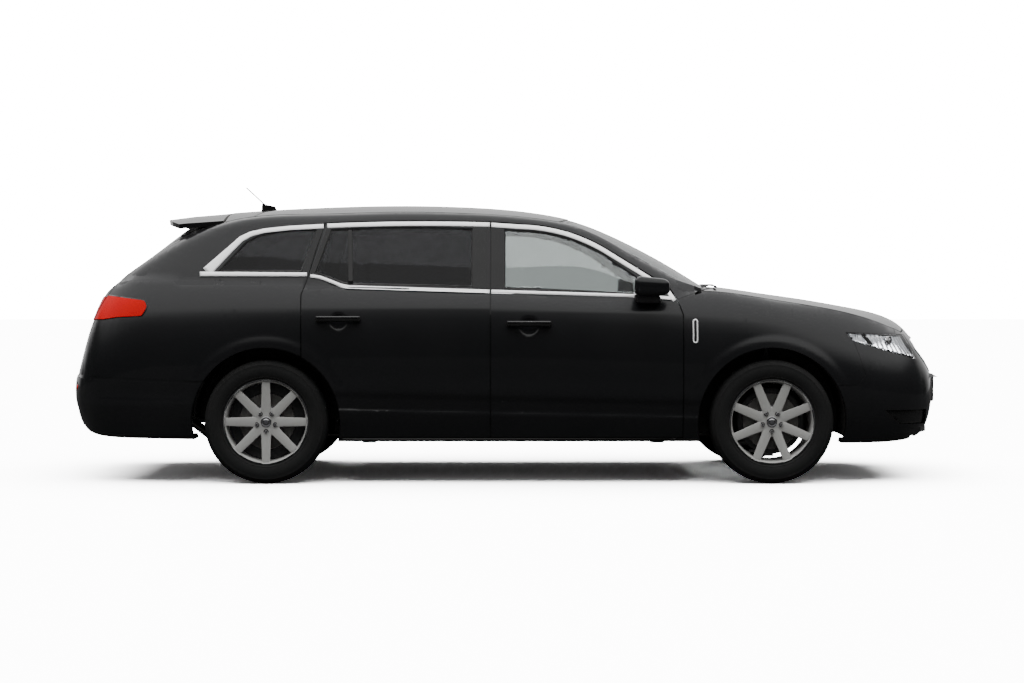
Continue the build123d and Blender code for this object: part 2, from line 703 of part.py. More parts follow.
def front_suspension(floor):
    """Front cross member, lower arms with their ball pins, and struts."""
    x = FRONT_AXLE_X
    pieces = [block((x - 90, x + 110), (-470, 470), (215, 300))]
    arm = plan_prism([
        (x - 85, 450), (x + 85, 450), (x + 40, 650), (x + 20, 690), (x + 20, KINGPIN_Y + 18),
        (x - 20, KINGPIN_Y + 18), (x - 20, 690), (x - 40, 650),
    ], ARM_Z, ARM_Z + ARM_THICKNESS)
    pin_top = LUG_Z + LUG_THICKNESS - RUNNING_CLEARANCE
    pin = tube((x, KINGPIN_Y, ARM_Z + 1), (x, KINGPIN_Y, pin_top), BALL_PIN_RADIUS)
    strut = tube((x, 600, ARM_Z + 5), (x, 560, TYRE_RADIUS + ARCH_RADIUS + 4), 34)
    mount = block((x - 60, x + 60), (RAIL_Y, 480), (ARM_Z, 420))
    for piece in (arm, pin, strut, mount):
        pieces += [piece, mirrored(piece)]
    return joined(pieces) - floor


def rear_suspension(floor):
    """Rear cross member, arms, springs, drive shafts and wheel carriers."""
    member = block((REAR_AXLE_X - 120, REAR_AXLE_X + 120), (-420, 420), (300, 400))
    pieces = [member]
    for side in (LEFT, RIGHT):
        carrier = upright(REAR_AXLE_X, TYRE_RADIUS - 130)
        arm = block((REAR_AXLE_X - 60, REAR_AXLE_X + 60), (400, WHEEL_Y - 115), (262, 310))
        shaft = tube((REAR_AXLE_X, 400, TYRE_RADIUS), (REAR_AXLE_X, WHEEL_Y - 110, TYRE_RADIUS), 24)
        spring = tube((REAR_AXLE_X - 60, 380, 390), (REAR_AXLE_X - 60, 380, LOAD_FLOOR_Z), 55)
        for piece in (carrier, arm, shaft, spring):
            pieces.append(piece if side == LEFT else mirrored(piece))
    return joined(pieces) - floor


def exhaust():
    """Exhaust pipe along the floor, cross silencer and two tail pipes."""
    pipe_r = 28
    run = [(1250, -160, 245), (-1000, -160, 245), (-1150, -200, 245), (-1850, -200, 245), (-2090, -200, 430)]
    pieces = [block((-2350, -2080), (-420, 420), (350, 500))]
    for start, end in zip(run, run[1:]):
        pieces.append(tube(start, end, pipe_r))
        pieces.append(Pos(*start) * Sphere(pipe_r))
    for x in (900, 0, -900):
        pieces.append(block((x - 10, x + 10), (-170, -150), (260, FLOOR_Z)))
    for y in (-300, 300):
        pieces.append(block((-2230, -2200), (y - 15, y + 15), (490, LOAD_FLOOR_Z)))
    for side in (LEFT, RIGHT):
        pieces.append(tube((-2250, side * 380, 400), (-2300, side * PIPE_Y, 304), 24))
        pieces.append(Pos(-2300, side * PIPE_Y, 304) * Sphere(30))
        pieces.append(tube((-2300, side * PIPE_Y, 304), (-2490, side * PIPE_Y, 304), 32))
    return joined(pieces)


def seat(x_front, y_centre, width, floor_z):
    """One seat: cushion, back and head restraint from a side outline."""
    cushion = [(x_front, floor_z), (x_front, floor_z + 260), (x_front - 470, floor_z + 220), (x_front - 470, floor_z)]
    back = [(x_front - 400, floor_z + 180), (x_front - 560, floor_z + 760), (x_front - 640, floor_z + 760),
            (x_front - 540, floor_z + 120), (x_front - 400, floor_z + 120)]
    rest = [(x_front - 560, floor_z + 740), (x_front - 570, floor_z + 900), (x_front - 650, floor_z + 900),
            (x_front - 650, floor_z + 740)]
    pieces = []
    for points, half in ((cushion, width / 2), (back, width / 2), (rest, 125)):
        pieces.append(side_prism(points, y_from=y_centre - half, y_to=y_centre + half))
    return joined(pieces)


def dashboard():
    """Dashboard across the cabin with its centre console."""
    board = front_to_back([(FIREWALL_X, 760), (FIREWALL_X, 1030), (1040, 1045), (880, 1000), (840, 900), (900, 760)], 690)
    console = block((250, 920), (-130, 130), (FLOOR_Z + FLOOR_THICKNESS, 780))
    return board + console


def steering_wheel(board):
    """Steering wheel on its column, ahead of the left seat."""
    tilt = Plane(origin=(690, 370, 960), z_dir=(-1, 0, 0.45))
    ring = tilt * Torus(180, 15)
    boss = tilt * Cylinder(60, 40)
    bars = [tilt * Rot(0, 0, angle) * Pos(90, 0, 0) * Box(180, 34, 16) for angle in (0, 180, 270)]
    column = tube((690, 370, 960), (1000, 370, 820), 28)
    return joined([ring, boss, column, *bars]) - board


def antenna(roof):
    """Roof aerial: a streamlined foot and a leaning rod."""
    foot = front_to_back([(-1440, 1630), (-1460, 1672), (-1540, 1690), (-1545, 1630)], 22)
    rod = tube((-1510, 0, 1670), (-1640, 0, 1790), 4)
    return (foot + rod) - roof


def engine_block():
    """Engine and gearbox as one plain block on the front cross member."""
    return block((FRONT_AXLE_X - 90, 2150), (-390, 390), (300, 900))


def export(name, shape):
    """Write one node."""
    export_step(shape, os.path.join("parts", name + ".step"))


def export_pair(name, shape):
    """Write a left piece and its mirror image as two nodes."""
    export(name + "_left", shape)
    export(name + "_right", mirrored(shape))


def both(shape):
    """A left piece and its mirror image in one node."""
    return Compound([*shape.solids(), *mirrored(shape).solids()])


def export_doors(body):
    """Four doors with their glass, and the mirrors on the front ones."""
    rows = (("front", FRONT_DOOR, FRONT_WINDOW, (133, 950)), ("rear", REAR_DOOR, REAR_WINDOW, (-992, 978)))
    for name, door, window, handle in rows:
        panel = door_panel(body, door, window, handle)
        export_pair(f"{name}_door", panel)
        export_pair(f"{name}_door_glass", door_glass(body, window))
        if name == "front":
            export_pair("mirror", mirror(panel))


def export_body(body):
    """Fixed panels, lamps and glass."""
    export_pair("body_side", body_side(body))
    export("front_fenders", both(front_fender(body)))
    export("front_bumper", front_bumper(body))
    export("grille", grille(body))
    export("headlamps", both((body.skin & body.headlamp_prism) - body.hood_gap))
    export("windscreen", body.glass & body.windscreen_prism)
    export("quarter_glass", both(body.glass & side_prism(QUARTER_WINDOW)))
    roof = body.wall & body.roof_prism
    export("roof_panel", roof)
    export("antenna", antenna(roof))
    export("cowl", cut_each(body.skin & body.cowl_prism, [body.hood_gap, body.windscreen_prism]))
    export("rear_bumper", rear_bumper(body))
    side_lamps = (body.skin & body.tail_lamp_prism) - body.tailgate_gap
    export("tail_lamps", side_lamps)


def export_lids(body):
    """Bonnet and tailgate."""
    export("hood", body.skin & body.hood_prism)
    export("tailgate", tailgate(body))
    export("tailgate_glass", body.glass & body.rear_glass_prism)
    export("tailgate_lamp", body.skin & body.tailgate_prism & body.tail_lamp_prism)


def export_chassis(body):
    """Floor, suspension, exhaust and engine."""
    floor = underbody(body)
    export("underbody", floor)
    export("front_suspension", front_suspension(floor))
    export("rear_suspension", rear_suspension(floor))
    export("exhaust", exhaust())
    export("engine_block", engine_block())
    export_pair("knuckle", knuckle())


def export_cabin():
    """Seats, dashboard and steering wheel."""
    floor_top = FLOOR_Z + FLOOR_THICKNESS
    export("front_seats", both(seat(520, 375, 470, floor_top)))
    second = seat(-420, 330, 560, floor_top)
    third = seat(-1180, 240, 460, LOAD_FLOOR_Z + BULKHEAD_THICKNESS)
    export("rear_seats", Compound([*both(second).solids(), *both(third).solids()]))
    board = dashboard()
    export("dashboard", board)
    export("steering_wheel", steering_wheel(board))


def export_wheels():
    """Four wheels and tyres."""
    for end, x, turn in (("front", FRONT_AXLE_X, 0.5), ("rear", REAR_AXLE_X, 0.0)):
        place = Pos(x, WHEEL_Y, TYRE_RADIUS)
        export_pair(f"wheel_{end}", place * wheel_rim(turn))
        export_pair(f"tyre_{end}", place * tyre())


def main():
    """Build every node of the car."""
    os.makedirs("parts", exist_ok=True)
    body = Body()
    export_doors(body)
    export_body(body)
    export_lids(body)
    export_chassis(body)
    export_cabin()
    export_wheels()


if __name__ == "__main__":
    main()
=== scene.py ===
"""Dresses the limousine: paint, glass, bright trim, lamps, wheels, cabin and studio."""

import logging
import math
from dataclasses import dataclass, field
from enum import Enum, IntEnum
from typing import Callable, Iterable, Sequence

import bmesh
import bpy
import numpy as np
from mathutils import Matrix, Vector


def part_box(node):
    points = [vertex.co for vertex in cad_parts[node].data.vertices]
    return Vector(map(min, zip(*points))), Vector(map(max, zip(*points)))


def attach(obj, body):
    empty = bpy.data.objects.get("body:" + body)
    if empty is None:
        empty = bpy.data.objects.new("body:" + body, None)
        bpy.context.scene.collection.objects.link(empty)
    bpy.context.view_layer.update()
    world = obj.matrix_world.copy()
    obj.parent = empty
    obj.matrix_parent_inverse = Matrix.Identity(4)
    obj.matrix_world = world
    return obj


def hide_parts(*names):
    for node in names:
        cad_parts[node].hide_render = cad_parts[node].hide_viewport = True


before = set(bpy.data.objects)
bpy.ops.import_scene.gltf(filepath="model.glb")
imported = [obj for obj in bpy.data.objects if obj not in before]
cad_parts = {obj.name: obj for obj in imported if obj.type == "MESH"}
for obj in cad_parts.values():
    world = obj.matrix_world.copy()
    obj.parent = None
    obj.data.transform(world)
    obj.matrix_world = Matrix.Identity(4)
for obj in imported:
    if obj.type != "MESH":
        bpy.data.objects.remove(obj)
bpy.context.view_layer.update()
LOG = logging.getLogger("limousine")

MM = 0.001
FRONT_AXLE = Vector((1.572, 0.830, 0.368))
REAR_AXLE = Vector((-1.423, 0.830, 0.368))
ARCH_RADIUS = 0.440
ARCH_STEP = 0.07
GAP = 0.006
PAINT_EDGE = 0.0006
BEVEL_ANGLE = math.radians(50)
BODY_END = 2.636
HALVINGS = 34
MITRE_LIMIT = 0.25
WELD = 1e-5
FORWARD = Vector((1, 0, 0))
BACKWARD = Vector((-1, 0, 0))
UPWARD = Vector((0, 0, 1))

Point = tuple[float, ...]
Outline = list[Point]
Mapping = Callable[[np.ndarray, np.ndarray], np.ndarray]


class Side(Enum):
    """Side of the car, as the sign of Y."""

    LEFT = 1
    RIGHT = -1

    @property
    def tag(self) -> str:
        """Lower-case name, as the frame's nodes use it."""
        return self.name.lower()


class NaturalSpline:
    """Natural cubic curve through a table column."""

    def __init__(self, xs: np.ndarray, ys: np.ndarray) -> None:
        """Solve for the second derivatives.

        Args:
            xs: Station positions, rising.
            ys: Values at the stations.
        """
        self.xs, self.ys = xs, ys
        step = np.diff(xs)
        count = len(xs)
        matrix = np.eye(count)
        right = np.zeros(count)
        for i in range(1, count - 1):
            matrix[i, i - 1:i + 2] = step[i - 1], 2 * (step[i - 1] + step[i]), step[i]
            right[i] = 6 * ((ys[i + 1] - ys[i]) / step[i] - (ys[i] - ys[i - 1]) / step[i - 1])
        self.bend = np.linalg.solve(matrix, right)

    def __call__(self, x: np.ndarray) -> np.ndarray:
        """Value at x, held at the end stations outside the table.

        Args:
            x: Positions to look up.

        Returns:
            The curve's values there.
        """
        x = np.clip(x, self.xs[0], self.xs[-1])
        i = np.clip(np.searchsorted(self.xs, x) - 1, 0, len(self.xs) - 2)
        h = self.xs[i + 1] - self.xs[i]
        a, b = (self.xs[i + 1] - x) / h, (x - self.xs[i]) / h
        curve = (a ** 3 - a) * self.bend[i] + (b ** 3 - b) * self.bend[i + 1]
        return a * self.ys[i] + b * self.ys[i + 1] + curve * h ** 2 / 6


@dataclass
class SectionForm:
    """Lengthwise form given by cross sections of three arcs: side, roll and crown.

    Each row of the table holds x, then base, widest, rail and edge points as (y, z), then the crown.
    """

    rows: Sequence[Sequence[float]]
    columns: list[NaturalSpline] = field(init=False)

    def __post_init__(self) -> None:
        """Fit one curve to each column, in metres."""
        table = np.array(self.rows, float) * MM
        self.columns = [NaturalSpline(table[:, 0], table[:, i]) for i in range(1, table.shape[1])]
        self.start, self.end = table[0, 0], table[-1, 0]

    def half_width(self, x: np.ndarray, z: np.ndarray) -> np.ndarray:
        """Half width of the form at x and z.

        Args:
            x: Positions along the car.
            z: Heights.

        Returns:
            The half widths, -1 outside the form.
        """
        yb, zb, ym, zm, yr, zr, ye, ze, zc = (column(x) for column in self.columns)
        d = 2 * (yb * (zm - zr) + ym * (zr - zb) + yr * (zb - zm))
        sb, sm, sr = yb ** 2 + zb ** 2, ym ** 2 + zm ** 2, yr ** 2 + zr ** 2
        cy = (sb * (zm - zr) + sm * (zr - zb) + sr * (zb - zm)) / d
        cz = (sb * (yr - ym) + sm * (yb - yr) + sr * (ym - yb)) / d
        radius = np.hypot(yr - cy, zr - cz)
        side = cy + np.sqrt(np.maximum(radius ** 2 - (z - cz) ** 2, 0))
        ny, nz = (cy - yr) / radius, (cz - zr) / radius
        dy, dz = ye - yr, ze - zr
        roll_r = (dy ** 2 + dz ** 2) / np.maximum(2 * (dy * ny + dz * nz), 1e-6)
        roll_y, roll_z = yr + ny * roll_r, zr + nz * roll_r
        roll = roll_y + np.sqrt(np.maximum(roll_r ** 2 - (z - roll_z) ** 2, 0))
        rise = np.maximum(zc - ze, 1e-4)
        crown_r = (ye ** 2 + rise ** 2) / (2 * rise)
        crown = np.sqrt(np.maximum(crown_r ** 2 - (z - zc + crown_r) ** 2, 0))
        width = np.where(z <= zr, side, np.where(z <= ze, roll, crown))
        outside = (z < zb) | (z > zc) | (x < self.start) | (x > self.end)
        return np.where(outside, -1.0, width)


HULL = SectionForm([
    (-2636, 250, 470, 330, 560, 260, 610, 160, 620, 624),
    (-2600, 480, 400, 580, 570, 490, 655, 320, 680, 690),
    (-2545, 640, 330, 715, 590, 630, 780, 420, 860, 885),
    (-2480, 720, 290, 785, 620, 710, 880, 500, 1040, 1085),
    (-2400, 780, 275, 838, 640, 775, 930, 590, 1150, 1190),
    (-2250, 840, 268, 890, 660, 850, 970, 715, 1205, 1225),
    (-2000, 880, 265, 932, 680, 900, 1000, 800, 1205, 1220),
    (-1423, 895, 255, 962, 690, 935, 1020, 855, 1185, 1200),
    (-700, 895, 250, 966, 690, 940, 1030, 880, 1152, 1170),
    (0, 895, 250, 966, 690, 940, 1030, 884, 1128, 1150),
    (700, 892, 250, 964, 690, 935, 1010, 868, 1105, 1140),
    (1200, 888, 250, 961, 690, 930, 985, 815, 1140, 1172),
    (1572, 880, 245, 956, 690, 920, 955, 795, 1092, 1128),
    (1850, 865, 240, 938, 680, 890, 910, 770, 1048, 1088),
    (2116, 835, 238, 900, 660, 845, 850, 730, 990, 1042),
    (2300, 780, 242, 845, 640, 785, 800, 665, 925, 1003),
    (2420, 700, 255, 770, 620, 710, 750, 575, 862, 955),
    (2520, 580, 295, 655, 600, 590, 695, 440, 775, 850),
    (2590, 420, 400, 490, 590, 420, 650, 300, 685, 705),
    (2636, 190, 510, 250, 565, 200, 605, 130, 615, 622),
])
SIDE_GLASS_BULGE = 14
CABIN = SectionForm([
    (x, yb, zb, (yb + yr) / 2 + SIDE_GLASS_BULGE, (zb + zr) / 2, yr, zr, ye, ze, zc)
    for x, yb, zb, yr, zr, ye, ze, zc in [
        (-2445, 600, 960, 545, 1040, 470, 1090, 1140),
        (-2346, 700, 1000, 640, 1150, 570, 1195, 1248),
        (-2247, 760, 1020, 672, 1215, 600, 1268, 1322),
        (-2098, 800, 1040, 690, 1300, 612, 1366, 1436),
        (-1900, 830, 1060, 695, 1405, 612, 1475, 1580),
        (-1659, 850, 1080, 695, 1500, 615, 1562, 1632),
        (-1161, 875, 1070, 697, 1538, 620, 1602, 1660),
        (-663, 892, 1060, 699, 1555, 624, 1616, 1672),
        (-289, 900, 1050, 702, 1553, 630, 1610, 1665),
        (209, 898, 1040, 714, 1520, 650, 1572, 1622),
        (458, 893, 1035, 740, 1455, 682, 1512, 1566),
        (707, 886, 1030, 778, 1328, 724, 1382, 1464),
        (1013, 868, 1020, 818, 1168, 775, 1210, 1302),
        (1240, 815, 1010, 790, 1080, 770, 1105, 1160),
    ]
])


def smooth_step(low: float, high: float, value: np.ndarray) -> np.ndarray:
    """Smooth rise from 0 at low to 1 at high; falls when low is above high.

    Args:
        low: Where the rise starts.
        high: Where it ends.
        value: Values to look up.

    Returns:
        Numbers from 0 to 1.
    """
    t = np.clip((value - low) / (high - low), 0, 1)
    return t * t * (3 - 2 * t)


class BodyForm:
    """Outer form of the whole body, with its pressed creases and wheel arch lips.

    Each row of crease_heights holds x and the heights there of the door ridge and the sill step.
    """

    crease_heights = ((-1.0, 0.553, 0.453), (1.0, 0.506, 0.412))
    ridge_rise, sill_step, valance_step, lip_rise = 0.006, 0.008, 0.008, 0.004
    handles = ((0.133, 0.950), (-0.992, 0.978))
    dish_radius, dish_centre_y = 0.110, 1.046
    top_range = (0.60, 1.70)
    nose_from, tail_from = 1.60, 1.50

    def plain_width(self, x: np.ndarray, z: np.ndarray) -> np.ndarray:
        """Half width without creases or lips."""
        return np.maximum(HULL.half_width(x, z), CABIN.half_width(x, z))

    def half_width(self, x: np.ndarray, z: np.ndarray) -> np.ndarray:
        """Half width with the door ridge, sill step, rear valance, handle dishes and arch lips.

        Args:
            x: Positions along the car.
            z: Heights.

        Returns:
            The half widths.
        """
        width = self.plain_width(x, z)
        (x0, u0, l0), (x1, u1, l1) = self.crease_heights
        t = (x - x0) / (x1 - x0)
        upper, lower = u0 + (u1 - u0) * t, l0 + (l1 - l0) * t
        along = smooth_step(-1.35, -1.15, x) * smooth_step(1.35, 1.15, x)
        ridge = smooth_step(-0.045, 0.0, z - upper) * smooth_step(0.11, 0.0, z - upper)
        sill = smooth_step(0.0, -0.020, z - lower)
        width = width + (self.ridge_rise * ridge + self.sill_step * sill) * along
        valance = smooth_step(0.512, 0.492, z) * smooth_step(-1.80, -1.92, x)
        width = np.where(width > 0, width + self.valance_step * valance, width)
        above_sill = smooth_step(0.30, 0.40, z)
        for axle in (FRONT_AXLE, REAR_AXLE):
            reach = np.hypot(x - axle.x, z - axle.z) - ARCH_RADIUS
            width = width + self.lip_rise * smooth_step(0.080, 0.030, reach) * above_sill
        for handle_x, handle_z in self.handles:
            inside = self.dish_radius ** 2 - (x - handle_x) ** 2 - (z - handle_z) ** 2
            bowl = self.dish_centre_y - np.sqrt(np.maximum(inside, 0))
            width = np.where(inside > 0, np.minimum(width, bowl), width)
        return width

    def root(self, inside: Callable[[np.ndarray], np.ndarray],
             low: np.ndarray, high: np.ndarray) -> np.ndarray:
        """Last value between low and high that is still inside, by halving.

        Args:
            inside: Test of an array of values.
            low: Values known to be inside.
            high: Values known to be outside.

        Returns:
            The values found.
        """
        low, high = low.copy(), high.copy()
        for _ in range(HALVINGS):
            middle = (low + high) / 2
            hit = inside(middle)
            low, high = np.where(hit, middle, low), np.where(hit, high, middle)
        return low

    def top(self, x: np.ndarray, y: np.ndarray) -> np.ndarray:
        """Height of the upper surface.

        Args:
            x: Positions along the car.
            y: Positions across the car.

        Returns:
            The heights.
        """
        y = np.abs(y)
        low, high = (np.full_like(x, z) for z in self.top_range)
        return self.root(lambda z: self.plain_width(x, z) >= y, low, high)

    def nose(self, y: np.ndarray, z: np.ndarray) -> np.ndarray:
        """Foremost x of the surface.

        Args:
            y: Positions across the car.
            z: Heights.

        Returns:
            The x values.
        """
        y = np.abs(y)
        low, high = np.full_like(y, self.nose_from), np.full_like(y, BODY_END)
        return self.root(lambda x: self.plain_width(x, z) >= y, low, high)

    def tail(self, y: np.ndarray, z: np.ndarray) -> np.ndarray:
        """Rearmost x of the surface.

        Args:
            y: Positions across the car.
            z: Heights.

        Returns:
            The x values.
        """
        y = np.abs(y)
        low, high = np.full_like(y, self.tail_from), np.full_like(y, BODY_END)
        return -self.root(lambda x: self.plain_width(-x, z) >= y, low, high)

    def width_at(self, x: float, z: float) -> float:
        """Plain half width at one place."""
        return float(self.plain_width(np.array([x]), np.array([z]))[0])

    def height_at(self, x: float, y: float) -> float:
        """Height of the upper surface at one place."""
        return float(self.top(np.array([x]), np.array([y]))[0])


FORM = BodyForm()


def side_map(side: Side, lift: float = 0.0) -> Mapping:
    """Mapping from side view (x, z) to the body side.

    Args:
        side: Which side of the car.
        lift: Height above the surface, along Y.

    Returns:
        A function from two arrays to points.
    """
    def place(x: np.ndarray, z: np.ndarray) -> np.ndarray:
        width = FORM.half_width(x, z) + lift
        return np.stack([x, side.value * width, z], axis=1)
    return place


def top_map(lift: float = 0.0) -> Mapping:
    """Mapping from plan (x, y) to the upper surface.

    Args:
        lift: Height above the surface.

    Returns:
        A function from two arrays to points.
    """
    def place(x: np.ndarray, y: np.ndarray) -> np.ndarray:
        return np.stack([x, y, FORM.top(x, y) + lift], axis=1)
    return place


def tail_map(lift: float = 0.0) -> Mapping:
    """Mapping from rear view (y, z) to the tail.

    Args:
        lift: Distance behind the surface.

    Returns:
        A function from two arrays to points.
    """
    def place(y: np.ndarray, z: np.ndarray) -> np.ndarray:
        return np.stack([FORM.tail(y, z) - lift, y, z], axis=1)
    return place


@dataclass(frozen=True)
class Wrap:
    """Wrap-around coordinates of a bumper: distance around a centre on the middle line, and height."""

    centre_x: float
    facing: int
    reach: float = 0.9
    search = (0.05, 1.45)

    def around(self, x: float, y: float) -> float:
        """Wrapped coordinate of a point in plan."""
        return self.reach * math.atan2(y, self.facing * (x - self.centre_x))

    def on_side(self, x: float, z: float) -> Point:
        """Wrapped coordinates of the left surface point at x and z."""
        return self.around(x, FORM.width_at(x, z)), z

    def on_end(self, y: float, z: float) -> Point:
        """Wrapped coordinates of the end surface point at y and z."""
        find = FORM.nose if self.facing > 0 else FORM.tail
        return self.around(float(find(np.array([y]), np.array([z]))[0]), y), z

    def mapping(self, lift: float = 0.0) -> Mapping:
        """Mapping from wrapped coordinates to the surface.

        Args:
            lift: Distance outside the surface.

        Returns:
            A function from two arrays to points.
        """
        def place(u: np.ndarray, z: np.ndarray) -> np.ndarray:
            cos, sin = np.cos(u / self.reach), np.sin(u / self.reach)

            def inside(r: np.ndarray) -> np.ndarray:
                width = FORM.half_width(self.centre_x + self.facing * r * cos, z)
                return width >= np.abs(r * sin)
            low, high = (np.full_like(u, r) for r in self.search)
            r = FORM.root(inside, low, high) + lift
            return np.stack([self.centre_x + self.facing * r * cos, r * sin, z], axis=1)
        return place


FRONT_WRAP = Wrap(1.55, 1)
REAR_WRAP = Wrap(-1.50, -1)


def arc_points(start: Point, middle: Point, end: Point, count: int = 14) -> Outline:
    """Points along the arc through three points.

    Args:
        start: Where the arc starts.
        middle: A point on it.
        end: Where it ends.
        count: Number of steps.

    Returns:
        The points after the first.
    """
    ax, ay, bx, by, cx, cy = *start[:2], *middle, *end[:2]
    d = 2 * (ax * (by - cy) + bx * (cy - ay) + cx * (ay - by))
    sa, sb, sc = ax * ax + ay * ay, bx * bx + by * by, cx * cx + cy * cy
    ux = (sa * (by - cy) + sb * (cy - ay) + sc * (ay - by)) / d
    uy = (sa * (cx - bx) + sb * (ax - cx) + sc * (bx - ax)) / d
    radius = math.hypot(ax - ux, ay - uy)
    a0, a1, a2 = (math.atan2(p[1] - uy, p[0] - ux) for p in (start, middle, end))
    sweep = (a2 - a0) % math.tau
    if (a1 - a0) % math.tau > sweep:
        sweep -= math.tau
    steps = [a0 + sweep * i / count for i in range(1, count + 1)]
    return [(ux + radius * math.cos(a), uy + radius * math.sin(a)) for a in steps]


def sampled(points: Outline) -> Outline:
    """Outline with its arcs turned into short runs.

    Args:
        points: Corners (u, v), or (u, v, mid_u, mid_v) reached by an arc from the one before.

    Returns:
        Corners (u, v) only.
    """
    result: Outline = []
    previous = points[-1]
    for point in points:
        if len(point) == 4:
            result += arc_points(previous, point[2:], point)
        else:
            result.append(point[:2])
        previous = point
    return result


def arch_run(axle: Vector, start: Point, end: Point) -> Outline:
    """Points over a wheel arch between two points on it, the long way over the top.

    Args:
        axle: Wheel centre.
        start: First point in side view.
        end: Last point in side view.

    Returns:
        Points in side view.
    """
    a0 = math.atan2(start[1] - axle.z, start[0] - axle.x)
    a1 = math.atan2(end[1] - axle.z, end[0] - axle.x)
    if a0 < -math.pi / 2:
        a0 += math.tau
    if a1 < -math.pi / 2:
        a1 += math.tau
    count = max(6, int(abs(a1 - a0) / ARCH_STEP))
    steps = [a0 + (a1 - a0) * i / count for i in range(count + 1)]
    return [(axle.x + ARCH_RADIUS * math.cos(a), axle.z + ARCH_RADIUS * math.sin(a)) for a in steps]


def grown(points: Outline, margin: float) -> Outline:
    """Sampled outline moved outward by a margin, or inward if it is negative.

    Args:
        points: Corners of the outline.
        margin: Distance to move each side.

    Returns:
        The moved corners.
    """
    area = sum(a[0] * b[1] - b[0] * a[1] for a, b in zip(points, points[1:] + points[:1]))
    turn = math.copysign(1, area)
    moved: Outline = []
    for i, point in enumerate(points):
        here = Vector(point)
        before = (here - Vector(points[i - 1])).normalized()
        after = (Vector(points[(i + 1) % len(points)]) - here).normalized()
        n0, n1 = Vector((before.y, -before.x)) * turn, Vector((after.y, -after.x)) * turn
        corner = here + (n0 + n1) * (margin / max(1 + n0.dot(n1), MITRE_LIMIT))
        moved.append((corner.x, corner.y))
    return moved


def mirrored(points: Iterable[Point]) -> Outline:
    """Points of an outline on the other side of the middle line."""
    return [(-u, v) for u, v in points]


def flip_to_right(bm: bmesh.types.BMesh) -> None:
    """Turn a mesh of the left side into one of the right."""
    bmesh.ops.scale(bm, vec=(1, -1, 1), verts=bm.verts[:])
    bmesh.ops.reverse_faces(bm, faces=bm.faces[:])


